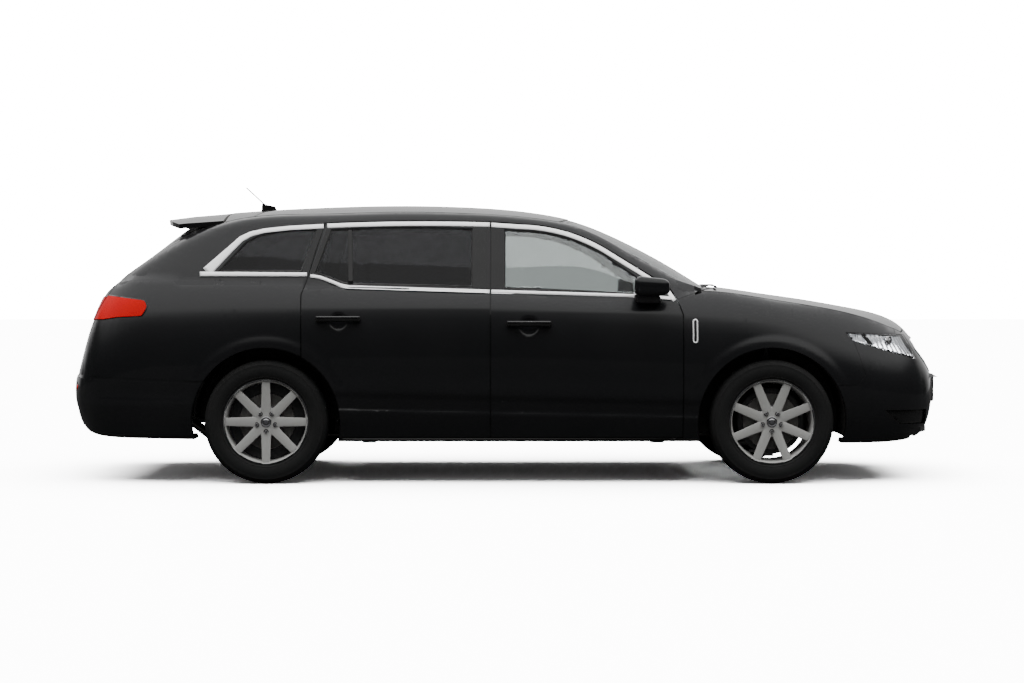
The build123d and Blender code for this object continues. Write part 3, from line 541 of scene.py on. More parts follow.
class MeshBuilder:
    """Turns outlines and strips into meshes that lie on the body."""

    crown_span = 1.9

    @staticmethod
    def region(outline: Outline, holes: Iterable[Outline], step: float,
               fine: Iterable[Point] = ()) -> bmesh.types.BMesh:
        """Flat region with holes, ruled into cells.

        Args:
            outline: Outer boundary.
            holes: Inner boundaries.
            step: Cell size.
            fine: Ranges (axis, low, high, step) that get closer lines.

        Returns:
            A bmesh in the plane of u and v.
        """
        bm = bmesh.new()
        for loop in (outline, *holes):
            verts = [bm.verts.new((u, v, 0)) for u, v in loop]
            for a, b in zip(verts, verts[1:] + verts[:1]):
                bm.edges.new((a, b))
        bmesh.ops.triangle_fill(bm, use_beauty=True, use_dissolve=False, edges=bm.edges[:],
                                normal=(0, 0, 1))
        outer = np.array(outline)
        for axis in (0, 1):
            low, high = outer[:, axis].min(), outer[:, axis].max()
            lines = list(np.arange(math.floor(low / step) * step, high, step))
            for fine_axis, fine_low, fine_high, fine_step in fine:
                if fine_axis == axis:
                    lines += list(np.arange(fine_low, fine_high, fine_step))
            normal = (1, 0, 0) if axis == 0 else (0, 1, 0)
            for line in sorted(set(round(value, 5) for value in lines)):
                if low < line < high:
                    place = (line, 0, 0) if axis == 0 else (0, line, 0)
                    bmesh.ops.bisect_plane(bm, geom=bm.verts[:] + bm.edges[:] + bm.faces[:], dist=WELD,
                                           plane_co=place, plane_no=normal)
        slanted = [e for e in bm.edges if len(e.link_faces) == 2 and MeshBuilder.is_slanted(e)]
        bmesh.ops.dissolve_edges(bm, edges=slanted, use_verts=False, use_face_split=False)
        bmesh.ops.remove_doubles(bm, verts=bm.verts[:], dist=2e-4)
        return bm

    @staticmethod
    def is_slanted(edge: bmesh.types.BMEdge) -> bool:
        """Whether an edge runs along neither ruling direction."""
        run = edge.verts[1].co - edge.verts[0].co
        return abs(run.x) > WELD and abs(run.y) > WELD

    @staticmethod
    def lay(bm: bmesh.types.BMesh, mapping: Mapping) -> None:
        """Move a flat mesh's vertices onto the body.

        Args:
            bm: Mesh in the plane of u and v.
            mapping: View to surface.
        """
        flat = np.array([v.co[:2] for v in bm.verts])
        for vert, place in zip(bm.verts, mapping(flat[:, 0], flat[:, 1])):
            vert.co = place

    @staticmethod
    def face_out(bm: bmesh.types.BMesh, outward: Vector) -> None:
        """Turn an open sheet's faces so that most look the given way.

        Args:
            bm: Sheet to turn.
            outward: The way to look.
        """
        bm.normal_update()
        total = sum((f.normal * f.calc_area() for f in bm.faces), Vector())
        if total.dot(outward) < 0:
            bmesh.ops.reverse_faces(bm, faces=bm.faces[:])

    @staticmethod
    def place_strip(bm: bmesh.types.BMesh, lifts: np.ndarray, mapping: Mapping, outward: Vector) -> None:
        """Move a flat strip onto the body and raise its rounded top.

        Args:
            bm: Strip in the plane of u and v.
            lifts: Height of each vertex above the mapping.
            mapping: View to surface.
            outward: Direction of the lifts, and the way the faces look.
        """
        flat = np.array([v.co[:2] for v in bm.verts])
        places = mapping(flat[:, 0], flat[:, 1]) + lifts[:, None] * np.array(outward)
        for vert, place in zip(bm.verts, places):
            vert.co = place
        MeshBuilder.face_out(bm, outward)

    @staticmethod
    def ribbon(path: Outline, width: float, rows: int = 6, crown: float = 0.0,
               widths: Sequence[float] = ()) -> tuple[bmesh.types.BMesh, np.ndarray]:
        """Strip along a path, as a grid with a lift value for each vertex.

        Args:
            path: Middle line in (u, v).
            width: Width of the strip.
            rows: Cells across.
            crown: Height of the rounded top.
            widths: Widths along the path, in place of one width.

        Returns:
            The grid in the plane of u and v, and the lift of each vertex.
        """
        line = np.array(path, float)
        count = len(line)
        spread = np.full(count, width) if not len(widths) else np.interp(
            np.linspace(0, 1, count), np.linspace(0, 1, len(widths)), widths)
        tangent = np.gradient(line, axis=0)
        tangent /= np.linalg.norm(tangent, axis=1)[:, None]
        normal = np.stack([-tangent[:, 1], tangent[:, 0]], axis=1)
        bm = bmesh.new()
        bmesh.ops.create_grid(bm, x_segments=count - 1, y_segments=rows, size=0.5)
        lifts = np.zeros(len(bm.verts))
        for i, vert in enumerate(bm.verts):
            along = round((vert.co.x + 0.5) * (count - 1))
            across = vert.co.y
            vert.co = (*(line[along] + normal[along] * across * spread[along]), 0)
            lifts[i] = crown * math.sqrt(max(0.0, 1 - (MeshBuilder.crown_span * across) ** 2))
        return bm, lifts


def make_object(name: str, bm: bmesh.types.BMesh,
                materials: Sequence[bpy.types.Material]) -> bpy.types.Object:
    """Finish a bmesh as a smooth-shaded object in the scene.

    Args:
        name: Piece name.
        bm: Mesh to take over; it is freed.
        materials: Material slots.

    Returns:
        The linked object.
    """
    mesh = bpy.data.meshes.new(name)
    bm.to_mesh(mesh)
    bm.free()
    for material in materials:
        mesh.materials.append(material)
    mesh.polygons.foreach_set("use_smooth", [True] * len(mesh.polygons))
    piece = bpy.data.objects.new(name, mesh)
    bpy.context.scene.collection.objects.link(piece)
    return piece


def thicken(piece: bpy.types.Object, thickness: float, bevel: float = 0.0) -> None:
    """Give an open sheet a wall to its inside, and round its edges.

    Args:
        piece: Sheet whose faces look outward.
        thickness: Wall in metres.
        bevel: Edge radius, or 0 for none.
    """
    wall = piece.modifiers.new("wall", "SOLIDIFY")
    wall.thickness, wall.offset = thickness, -1.0
    wall.use_quality_normals = True
    if bevel:
        edge = piece.modifiers.new("edge", "BEVEL")
        edge.width, edge.segments = bevel, 2
        edge.limit_method, edge.angle_limit = "ANGLE", BEVEL_ANGLE
        edge.harden_normals = True


def settle(piece: bpy.types.Object, body: str, *replaced: str, slot: str = "") -> bpy.types.Object:
    """Fix a piece to a body of the frame and log it.

    Args:
        piece: Piece to fix.
        body: Body of the frame that carries it.
        replaced: CAD nodes it stands for.
        slot: Material slot name; not used.

    Returns:
        The piece.
    """
    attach(piece, body)
    if replaced:
        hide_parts(*replaced)
    LOG.info("%s rides on %s (%d faces)", piece.name, body, len(piece.data.polygons))
    return piece


def variation_group() -> bpy.types.NodeTree:
    """Shared shader group: broken colour, roughness and a fine grain on Object coordinates.

    Returns:
        The node group, with Colour, Roughness and Normal outputs.
    """
    name = "surface_variation"
    if name in bpy.data.node_groups:
        return bpy.data.node_groups[name]
    group = bpy.data.node_groups.new(name, "ShaderNodeTree")
    face = group.interface
    for label, kind, default in (
        ("Colour A", "NodeSocketColor", (0.5, 0.5, 0.5, 1)),
        ("Colour B", "NodeSocketColor", (0.4, 0.4, 0.4, 1)),
        ("Roughness", "NodeSocketFloat", 0.5),
        ("Spread", "NodeSocketFloat", 0.1),
        ("Scale", "NodeSocketFloat", 8.0),
        ("Grain Scale", "NodeSocketFloat", 400.0),
        ("Grain", "NodeSocketFloat", 0.1),
    ):
        face.new_socket(label, in_out="INPUT", socket_type=kind).default_value = default
    for label, kind in (
        ("Colour", "NodeSocketColor"),
        ("Roughness", "NodeSocketFloat"),
        ("Normal", "NodeSocketVector"),
    ):
        face.new_socket(label, in_out="OUTPUT", socket_type=kind)
    nodes, links = group.nodes, group.links
    enter, leave = nodes.new("NodeGroupInput"), nodes.new("NodeGroupOutput")
    place = nodes.new("ShaderNodeTexCoord")
    broad, fine = nodes.new("ShaderNodeTexNoise"), nodes.new("ShaderNodeTexNoise")
    broad.inputs["Detail"].default_value = 4.0
    links.new(place.outputs["Object"], broad.inputs["Vector"])
    links.new(place.outputs["Object"], fine.inputs["Vector"])
    links.new(enter.outputs["Scale"], broad.inputs["Scale"])
    links.new(enter.outputs["Grain Scale"], fine.inputs["Scale"])
    mix = nodes.new("ShaderNodeMix")
    mix.data_type = "RGBA"
    links.new(broad.outputs["Fac"], mix.inputs["Factor"])
    links.new(enter.outputs["Colour A"], mix.inputs["A"])
    links.new(enter.outputs["Colour B"], mix.inputs["B"])
    centred, spread = nodes.new("ShaderNodeMath"), nodes.new("ShaderNodeMath")
    centred.operation, spread.operation = "SUBTRACT", "MULTIPLY_ADD"
    centred.inputs[1].default_value = 0.5
    links.new(broad.outputs["Fac"], centred.inputs[0])
    links.new(centred.outputs[0], spread.inputs[0])
    links.new(enter.outputs["Spread"], spread.inputs[1])
    links.new(enter.outputs["Roughness"], spread.inputs[2])
    bump = nodes.new("ShaderNodeBump")
    bump.inputs["Distance"].default_value = 0.001
    links.new(enter.outputs["Grain"], bump.inputs["Strength"])
    links.new(fine.outputs["Fac"], bump.inputs["Height"])
    links.new(mix.outputs["Result"], leave.inputs["Colour"])
    links.new(spread.outputs[0], leave.inputs["Roughness"])
    links.new(bump.outputs["Normal"], leave.inputs["Normal"])
    return group


@dataclass(frozen=True)
class Finish:
    """A procedural finish: two broken colours, roughness, grain and the Principled settings."""

    name: str
    colour: tuple[float, float, float]
    second: tuple[float, float, float]
    roughness: float
    spread: float = 0.05
    metallic: float = 0.0
    coat: float = 0.0
    transmission: float = 0.0
    ior: float = 1.5
    scale: float = 8.0
    grain_scale: float = 600.0
    grain: float = 0.03

    def build(self) -> bpy.types.Material:
        """Make the material, or find the one made before.

        Returns:
            The material.
        """
        label = f"{self.name}_finish"
        if label in bpy.data.materials:
            return bpy.data.materials[label]
        material = bpy.data.materials.new(label)
        material.use_nodes = True
        tree = material.node_tree
        shader = tree.nodes["Principled BSDF"]
        group = tree.nodes.new("ShaderNodeGroup")
        group.node_tree = variation_group()
        for socket, value in (
            ("Colour A", (*self.colour, 1)),
            ("Colour B", (*self.second, 1)),
            ("Roughness", self.roughness),
            ("Spread", self.spread),
            ("Scale", self.scale),
            ("Grain Scale", self.grain_scale),
            ("Grain", self.grain),
        ):
            group.inputs[socket].default_value = value
        tree.links.new(group.outputs["Colour"], shader.inputs["Base Color"])
        tree.links.new(group.outputs["Roughness"], shader.inputs["Roughness"])
        if self.grain:
            tree.links.new(group.outputs["Normal"], shader.inputs["Normal"])
        for socket, value in (
            ("Metallic", self.metallic),
            ("Coat Weight", self.coat),
            ("Coat Roughness", 0.03),
            ("Transmission Weight", self.transmission),
            ("IOR", self.ior),
        ):
            shader.inputs[socket].default_value = value
        return material


class Palette:
    """All finishes of the car."""

    paint = Finish("black_paint", (0.0030, 0.0031, 0.0035), (0.0045, 0.0045, 0.0050),
                   0.30, coat=1.0, scale=3.0, grain=0.0)
    plastic = Finish("black_plastic", (0.012, 0.012, 0.013), (0.020, 0.020, 0.021), 0.55, grain=0.12)
    gloss = Finish("gloss_black", (0.004, 0.004, 0.004), (0.007, 0.007, 0.007), 0.10, coat=0.5, grain=0.0)
    rubber = Finish("seal_rubber", (0.010, 0.010, 0.010), (0.018, 0.018, 0.018), 0.70, grain=0.08)
    tyre = Finish("tyre_rubber", (0.0035, 0.0035, 0.0035), (0.0065, 0.0065, 0.0065),
                  0.80, grain_scale=900, grain=0.15)
    chrome = Finish("bright_trim", (0.82, 0.82, 0.83), (0.74, 0.74, 0.76), 0.09, metallic=1.0, grain=0.0)
    bright = Finish("bright_strip", (0.86, 0.86, 0.86), (0.80, 0.80, 0.80),
                    0.24, metallic=0.45, coat=0.6, grain=0.0)
    alloy = Finish("wheel_alloy", (0.30, 0.30, 0.29), (0.26, 0.26, 0.25),
                   0.34, metallic=0.35, coat=0.3, grain=0.02)
    shade = Finish("wheel_shade", (0.10, 0.10, 0.11), (0.16, 0.16, 0.17), 0.45, metallic=0.8)
    disc = Finish("brake_iron", (0.36, 0.35, 0.34), (0.24, 0.23, 0.22),
                  0.38, metallic=1.0, grain_scale=300)
    clear = Finish("clear_glass", (0.62, 0.66, 0.65), (0.58, 0.62, 0.61),
                   0.0, spread=0.0, transmission=1.0, grain=0.0)
    privacy = Finish("privacy_glass", (0.050, 0.052, 0.056), (0.060, 0.062, 0.066),
                     0.0, spread=0.0, transmission=1.0, grain=0.0)
    lens = Finish("lamp_lens", (0.93, 0.94, 0.95), (0.90, 0.91, 0.92),
                  0.01, spread=0.0, transmission=1.0, ior=1.3, grain=0.0)
    red = Finish("tail_lens", (0.300, 0.0015, 0.002), (0.240, 0.001, 0.0015), 0.08, ior=1.25, grain=0.0)
    reflector = Finish("lamp_reflector", (0.85, 0.86, 0.88), (0.72, 0.73, 0.76),
                       0.16, metallic=1.0, grain=0.0)
    leather = Finish("seat_leather", (0.016, 0.015, 0.015), (0.026, 0.025, 0.024),
                     0.46, grain_scale=700, grain=0.35)
    soft = Finish("dash_skin", (0.018, 0.018, 0.019), (0.028, 0.028, 0.029),
                  0.60, grain_scale=800, grain=0.3)
    headliner = Finish("headliner", (0.16, 0.155, 0.15), (0.20, 0.195, 0.19),
                       0.90, grain_scale=900, grain=0.4)
    floor_steel = Finish("steel_floor", (0.030, 0.030, 0.032), (0.060, 0.058, 0.055),
                         0.60, metallic=0.3, grain=0.2)
    cast = Finish("cast_arms", (0.20, 0.20, 0.21), (0.13, 0.13, 0.14), 0.50, metallic=0.8, grain=0.3)
    exhaust = Finish("exhaust_steel", (0.46, 0.45, 0.43), (0.32, 0.30, 0.28),
                     0.33, metallic=1.0, grain=0.1)
    engine = Finish("engine_alloy", (0.30, 0.30, 0.31), (0.18, 0.18, 0.19), 0.46, metallic=0.8, grain=0.3)


def dress_node(name: str, finish: Finish) -> None:
    """Give a CAD node that stays in view its procedural finish.

    Args:
        name: Node of the frame.
        finish: Its finish.
    """
    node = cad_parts[name]
    node.data.materials.clear()
    node.data.materials.append(finish.build())
    LOG.info("%s keeps its solid, in %s", name, finish.name)


SKIN_LIFT = 0.0018


def lay_skin(name: str, outline: Outline, mapping: Mapping, outward: Vector, body: str, finish: Finish,
             holes: Iterable[Outline] = (), step: float = 0.028, fine: Iterable[Point] = (),
             wall: float = 0.0012, bevel: float = 0.0, nodes: Sequence[str] = (),
             slot: str = "") -> bpy.types.Object:
    """Lay a skin over part of the body.

    Args:
        name: Piece name.
        outline: Boundary in the mapping's view.
        mapping: View to surface.
        outward: Rough outward direction.
        body: Body of the frame that carries it.
        finish: Surface finish.
        holes: Openings in the outline.
        step: Cell size.
        fine: Closer ruling, as in MeshBuilder.region.
        wall: Thickness.
        bevel: Edge radius.
        nodes: CAD nodes it stands for.
        slot: Material slot name, passed on to settle.

    Returns:
        The piece.
    """
    bm = MeshBuilder.region(outline, holes, step, fine)
    MeshBuilder.lay(bm, mapping)
    MeshBuilder.face_out(bm, outward)
    piece = make_object(name, bm, [finish.build()])
    thicken(piece, wall, bevel=bevel)
    return settle(piece, body, *nodes, slot=slot)


def lay_ribbon(name: str, path: Outline, width: float, side: Side, body: str, finish: Finish,
               crown: float = 0.004, base: float = 0.002, widths: Sequence[float] = (),
               rows: int = 6, slot: str = "") -> bpy.types.Object:
    """Lay a rounded strip along a side-view path.

    Args:
        name: Piece name.
        path: Middle line in side view.
        width: Width of the strip.
        side: Which side of the car.
        body: Body of the frame that carries it.
        finish: Surface finish.
        crown: Height of the rounded top.
        base: Height of the strip's edges above the body.
        widths: Widths along the path, in place of one width.
        rows: Cells across.
        slot: Material slot name, passed on to settle.

    Returns:
        The piece.
    """
    bm, lifts = MeshBuilder.ribbon(path, width, rows, crown, widths)
    MeshBuilder.place_strip(bm, lifts + base, side_map(side), Vector((0, side.value, 0)))
    piece = make_object(name, bm, [finish.build()])
    thicken(piece, 0.004)
    return settle(piece, body, slot=slot)


def spaced(path: Outline, step: float) -> Outline:
    """Path cut into even steps.

    Args:
        path: Corners of the path.
        step: Rough length of a step.

    Returns:
        Points along the path, with both ends.
    """
    line = np.array(path, float)
    run = np.concatenate([[0], np.cumsum(np.linalg.norm(np.diff(line, axis=0), axis=1))])
    count = max(2, int(run[-1] / step))
    at = np.linspace(0, run[-1], count + 1)
    return list(zip(np.interp(at, run, line[:, 0]), np.interp(at, run, line[:, 1])))


def spaced_loop(corners: Outline, step: float) -> Outline:
    """Closed outline cut into even steps, from its first corner round to it."""
    return spaced(corners + corners[:1], step)[:-1]


FRONT_DOOR: Outline = sampled([
    (-0.092, 0.275), (1.042, 0.275), (1.042, 1.003), (1.008, 1.092), (0.963, 1.164), (0.600, 1.390),
    (0.090, 1.540, 0.350, 1.500), (-0.092, 1.553)])
FRONT_WINDOW: Outline = sampled([
    (-0.015, 1.158), (0.938, 1.117), (0.590, 1.357), (0.085, 1.507, 0.345, 1.467), (-0.015, 1.513)])
REAR_WINDOW: Outline = sampled([
    (-0.200, 1.166), (-0.200, 1.518), (-1.052, 1.512, -0.600, 1.526), (-1.138, 1.252), (-0.960, 1.184)])
QUARTER_WINDOW: Outline = sampled([
    (-1.218, 1.258), (-1.135, 1.510), (-1.480, 1.478, -1.310, 1.507), (-1.560, 1.440), (-1.720, 1.258)])
REAR_DOOR: Outline = sampled([
    (-0.098, 0.275), (-0.098, 1.553), (-1.086, 1.546, -0.560, 1.559), (-1.176, 1.232), (-1.212, 1.120),
]) + arch_run(REAR_AXLE, (-1.208, 0.752), (-0.993, 0.275))
TAILGATE_PANE: Outline = sampled([
    (0.520, 1.540, 0.545, 1.380), (-0.520, 1.540), (-0.530, 1.215, -0.545, 1.380),
    (0.530, 1.215, 0.0, 1.190)])
SIDE_FINE: list[Point] = [(1, 0.36, 0.60, 0.010)]
DISH_REACH, DISH_CELL = 0.068, 0.008
ARCH_REACH, ARCH_FOOT, ARCH_CELL = 0.53, 0.30, 0.014


def dish_fine(at: Point) -> list[Point]:
    """Closer ruling round a handle dish."""
    return [(axis, at[axis] - DISH_REACH, at[axis] + DISH_REACH, DISH_CELL) for axis in (0, 1)]


def arch_fine(axle: Vector) -> list[Point]:
    """Closer ruling round a wheel arch."""
    return [(0, axle.x - ARCH_REACH, axle.x + ARCH_REACH, ARCH_CELL),
            (1, ARCH_FOOT, axle.z + ARCH_REACH, ARCH_CELL)]


@dataclass
class SidePanels:
    """Painted panels of one side: fender, two doors, quarter with roof rail, and sill."""

    side: Side

    def build(self) -> None:
        """Lay every panel of the side."""
        out = Vector((0, self.side.value, 0))
        tag = self.side.tag
        skin = side_map(self.side, SKIN_LIFT)
        lay_skin(f"front_door_skin_{tag}", FRONT_DOOR, skin, out, f"front_door_{tag}", Palette.paint,
                 [FRONT_WINDOW], fine=SIDE_FINE + dish_fine(FORM.handles[0]), bevel=PAINT_EDGE,
                 slot="body_paint")
        lay_skin(f"rear_door_skin_{tag}", REAR_DOOR, skin, out, f"rear_door_{tag}", Palette.paint,
                 [REAR_WINDOW], fine=SIDE_FINE + dish_fine(FORM.handles[1]) + [(0, -1.30, -1.06, 0.014)],
                 bevel=PAINT_EDGE, slot="body_paint")
        lay_skin(f"fender_skin_{tag}", self.fender_outline(), skin, out, "chassis", Palette.paint,
                 fine=arch_fine(FRONT_AXLE), bevel=PAINT_EDGE, slot="body_paint")
        lay_skin(f"quarter_skin_{tag}", self.quarter_outline(), skin, out, "chassis", Palette.paint,
                 [QUARTER_WINDOW], bevel=PAINT_EDGE, slot="body_paint",
                 fine=arch_fine(REAR_AXLE) + [(0, -2.62, -2.30, 0.010), (1, 1.52, 1.62, 0.010)])
        sill = [(-0.975, 0.254), (1.048, 0.254), (1.048, 0.269), (-0.990, 0.269)]
        lay_skin(f"sill_skin_{tag}", sill, skin, out, "chassis", Palette.paint, step=0.05, slot="body_paint")

    def top_edge(self, x: float, y: float) -> Point:
        """Side-view point of the upper surface at x and y."""
        return x, FORM.height_at(x, y)

    def tail_edge(self, y: float, z: float) -> Point:
        """Side-view point of the tail surface at y and z."""
        return float(FORM.tail(np.array([y]), np.array([z]))[0]), z

    def fender_outline(self) -> Outline:
        """Fender boundary, from the sill round the door, bonnet and bumper to the arch.

        Returns:
            Corners in side view.
        """
        bonnet = [(1.172, 0.806), (1.372, 0.800), (1.572, 0.792), (1.711, 0.780), (1.850, 0.767),
                  (1.985, 0.747), (2.116, 0.727), (2.205, 0.695), (2.300, 0.662), (2.328, 0.634)]
        foot = math.sqrt(ARCH_RADIUS ** 2 - (0.585 - FRONT_AXLE.z) ** 2)
        low = math.sqrt(ARCH_RADIUS ** 2 - (FRONT_AXLE.z - 0.256) ** 2)
        edge = [(1.048, 0.256), (1.048, 1.004), (1.016, 1.090), (1.160, 1.130)]
        edge += [self.top_edge(x, y) for x, y in bonnet]
        edge += [(2.328, 0.882), (2.040, 0.897), (2.013, 0.896), (2.052, 0.843), (2.122, 0.647),
                 (2.075, 0.585)]
        return edge + arch_run(FRONT_AXLE, (FRONT_AXLE.x + foot, 0.585), (FRONT_AXLE.x - low, 0.256))

    def quarter_outline(self) -> Outline:
        """Boundary of roof rail and quarter panel.

        Returns:
            Corners in side view.
        """
        rail = [self.top_edge(x, 0.770 - 0.130 * (1.150 - x) / 0.840 + GAP)
                for x in np.linspace(1.150, 0.310, 9)]
        rail += [self.top_edge(x, 0.640 - 0.050 * (0.310 - x) / 2.010 + GAP)
                 for x in np.linspace(0.26, -1.700, 18)]
        tail = [self.tail_edge(0.598, z) for z in np.linspace(1.56, 1.28, 9)]
        tail += [self.tail_edge(0.598 + 0.048 * (1.270 - z) / 0.170, z) for z in np.linspace(1.26, 1.10, 7)]
        tail += [self.tail_edge(0.646, z) for z in np.linspace(1.08, 0.90, 7)]
        tail += [self.tail_edge(0.646 - 0.080 * (0.900 - z) / 0.264, z) for z in np.linspace(0.88, 0.640, 8)]
        foot = math.sqrt(ARCH_RADIUS ** 2 - (0.612 - REAR_AXLE.z) ** 2)
        low = [(-1.885, 0.612)]
        arch = arch_run(REAR_AXLE, (REAR_AXLE.x - foot, 0.612), (-1.214, 0.755))
        door = [(-1.218, 1.120), (-1.182, 1.233)] + sampled([(-1.092, 1.552), (-0.098, 1.559, -0.560, 1.565)])
        door += [(0.0, 1.554)] + sampled([
            (0.090, 1.546), (0.603, 1.396, 0.352, 1.506), (0.967, 1.170), (1.014, 1.094)])
        return rail + tail + low + arch + door


def rounded_block(size: Vector, centre: Vector, radius: float, segments: int = 3) -> bmesh.types.BMesh:
    """Block with rounded edges.

    Args:
        size: Full sizes.
        centre: Middle point.
        radius: Edge radius.
        segments: Steps round each edge.

    Returns:
        A closed bmesh.
    """
    bm = bmesh.new()
    bmesh.ops.create_cube(bm, size=1.0)
    bmesh.ops.scale(bm, vec=size, verts=bm.verts[:])
    bmesh.ops.bevel(bm, geom=bm.edges[:], offset=radius, offset_type="OFFSET", segments=segments,
                    profile=0.5, affect="EDGES", material=-1)
    bmesh.ops.translate(bm, vec=centre, verts=bm.verts[:])
    return bm


def turned(profile: Sequence[Point], steps: int, closed: bool = True) -> bmesh.types.BMesh:
    """Ring turned about Y from a profile of (along, radius) points.

    Args:
        profile: Points of the section.
        steps: Steps round the axis.
        closed: Whether the section closes on itself.

    Returns:
        The turned bmesh, normals outward.
    """
    bm = bmesh.new()
    verts = [bm.verts.new((0, along, radius)) for along, radius in profile]
    pairs = list(zip(verts, verts[1:])) + ([(verts[-1], verts[0])] if closed else [])
    edges = [bm.edges.new(pair) for pair in pairs]
    bmesh.ops.spin(bm, geom=verts + edges, cent=(0, 0, 0), axis=(0, 1, 0), dvec=(0, 0, 0),
                   angle=math.tau, steps=steps, use_merge=True)
    bmesh.ops.remove_doubles(bm, verts=bm.verts[:], dist=WELD)
    bmesh.ops.recalc_face_normals(bm, faces=bm.faces[:])
    return bm


def absorb(target: bmesh.types.BMesh, other: bmesh.types.BMesh, index: int = 0) -> None:
    """Add one bmesh to another with a material index, and free it.

    Args:
        target: Mesh that grows.
        other: Mesh to add.
        index: Material index of the added faces.
    """
    for face in other.faces:
        face.material_index = index
    mesh = bpy.data.meshes.new("part")
    other.to_mesh(mesh)
    other.free()
    target.from_mesh(mesh)
    bpy.data.meshes.remove(mesh)


def sharpen(piece: bpy.types.Object, degrees: float = 35.0) -> None:
    """Smooth shading with creases above an angle."""
    piece.data.shade_smooth()
    piece.data.set_sharp_from_angle(angle=math.radians(degrees))


class RimSlot(IntEnum):
    """Material slots of a wheel, in order."""

    ALLOY = 0
    CHROME = 1
    SHADE = 2
    PLASTIC = 3
    DISC = 4


@dataclass(frozen=True)
class SpokeEnd:
    """Section of a spoke at one of its ends: half width, front and back face, and radius."""

    half: float
    face_at: float
    back_at: float
    radius: float


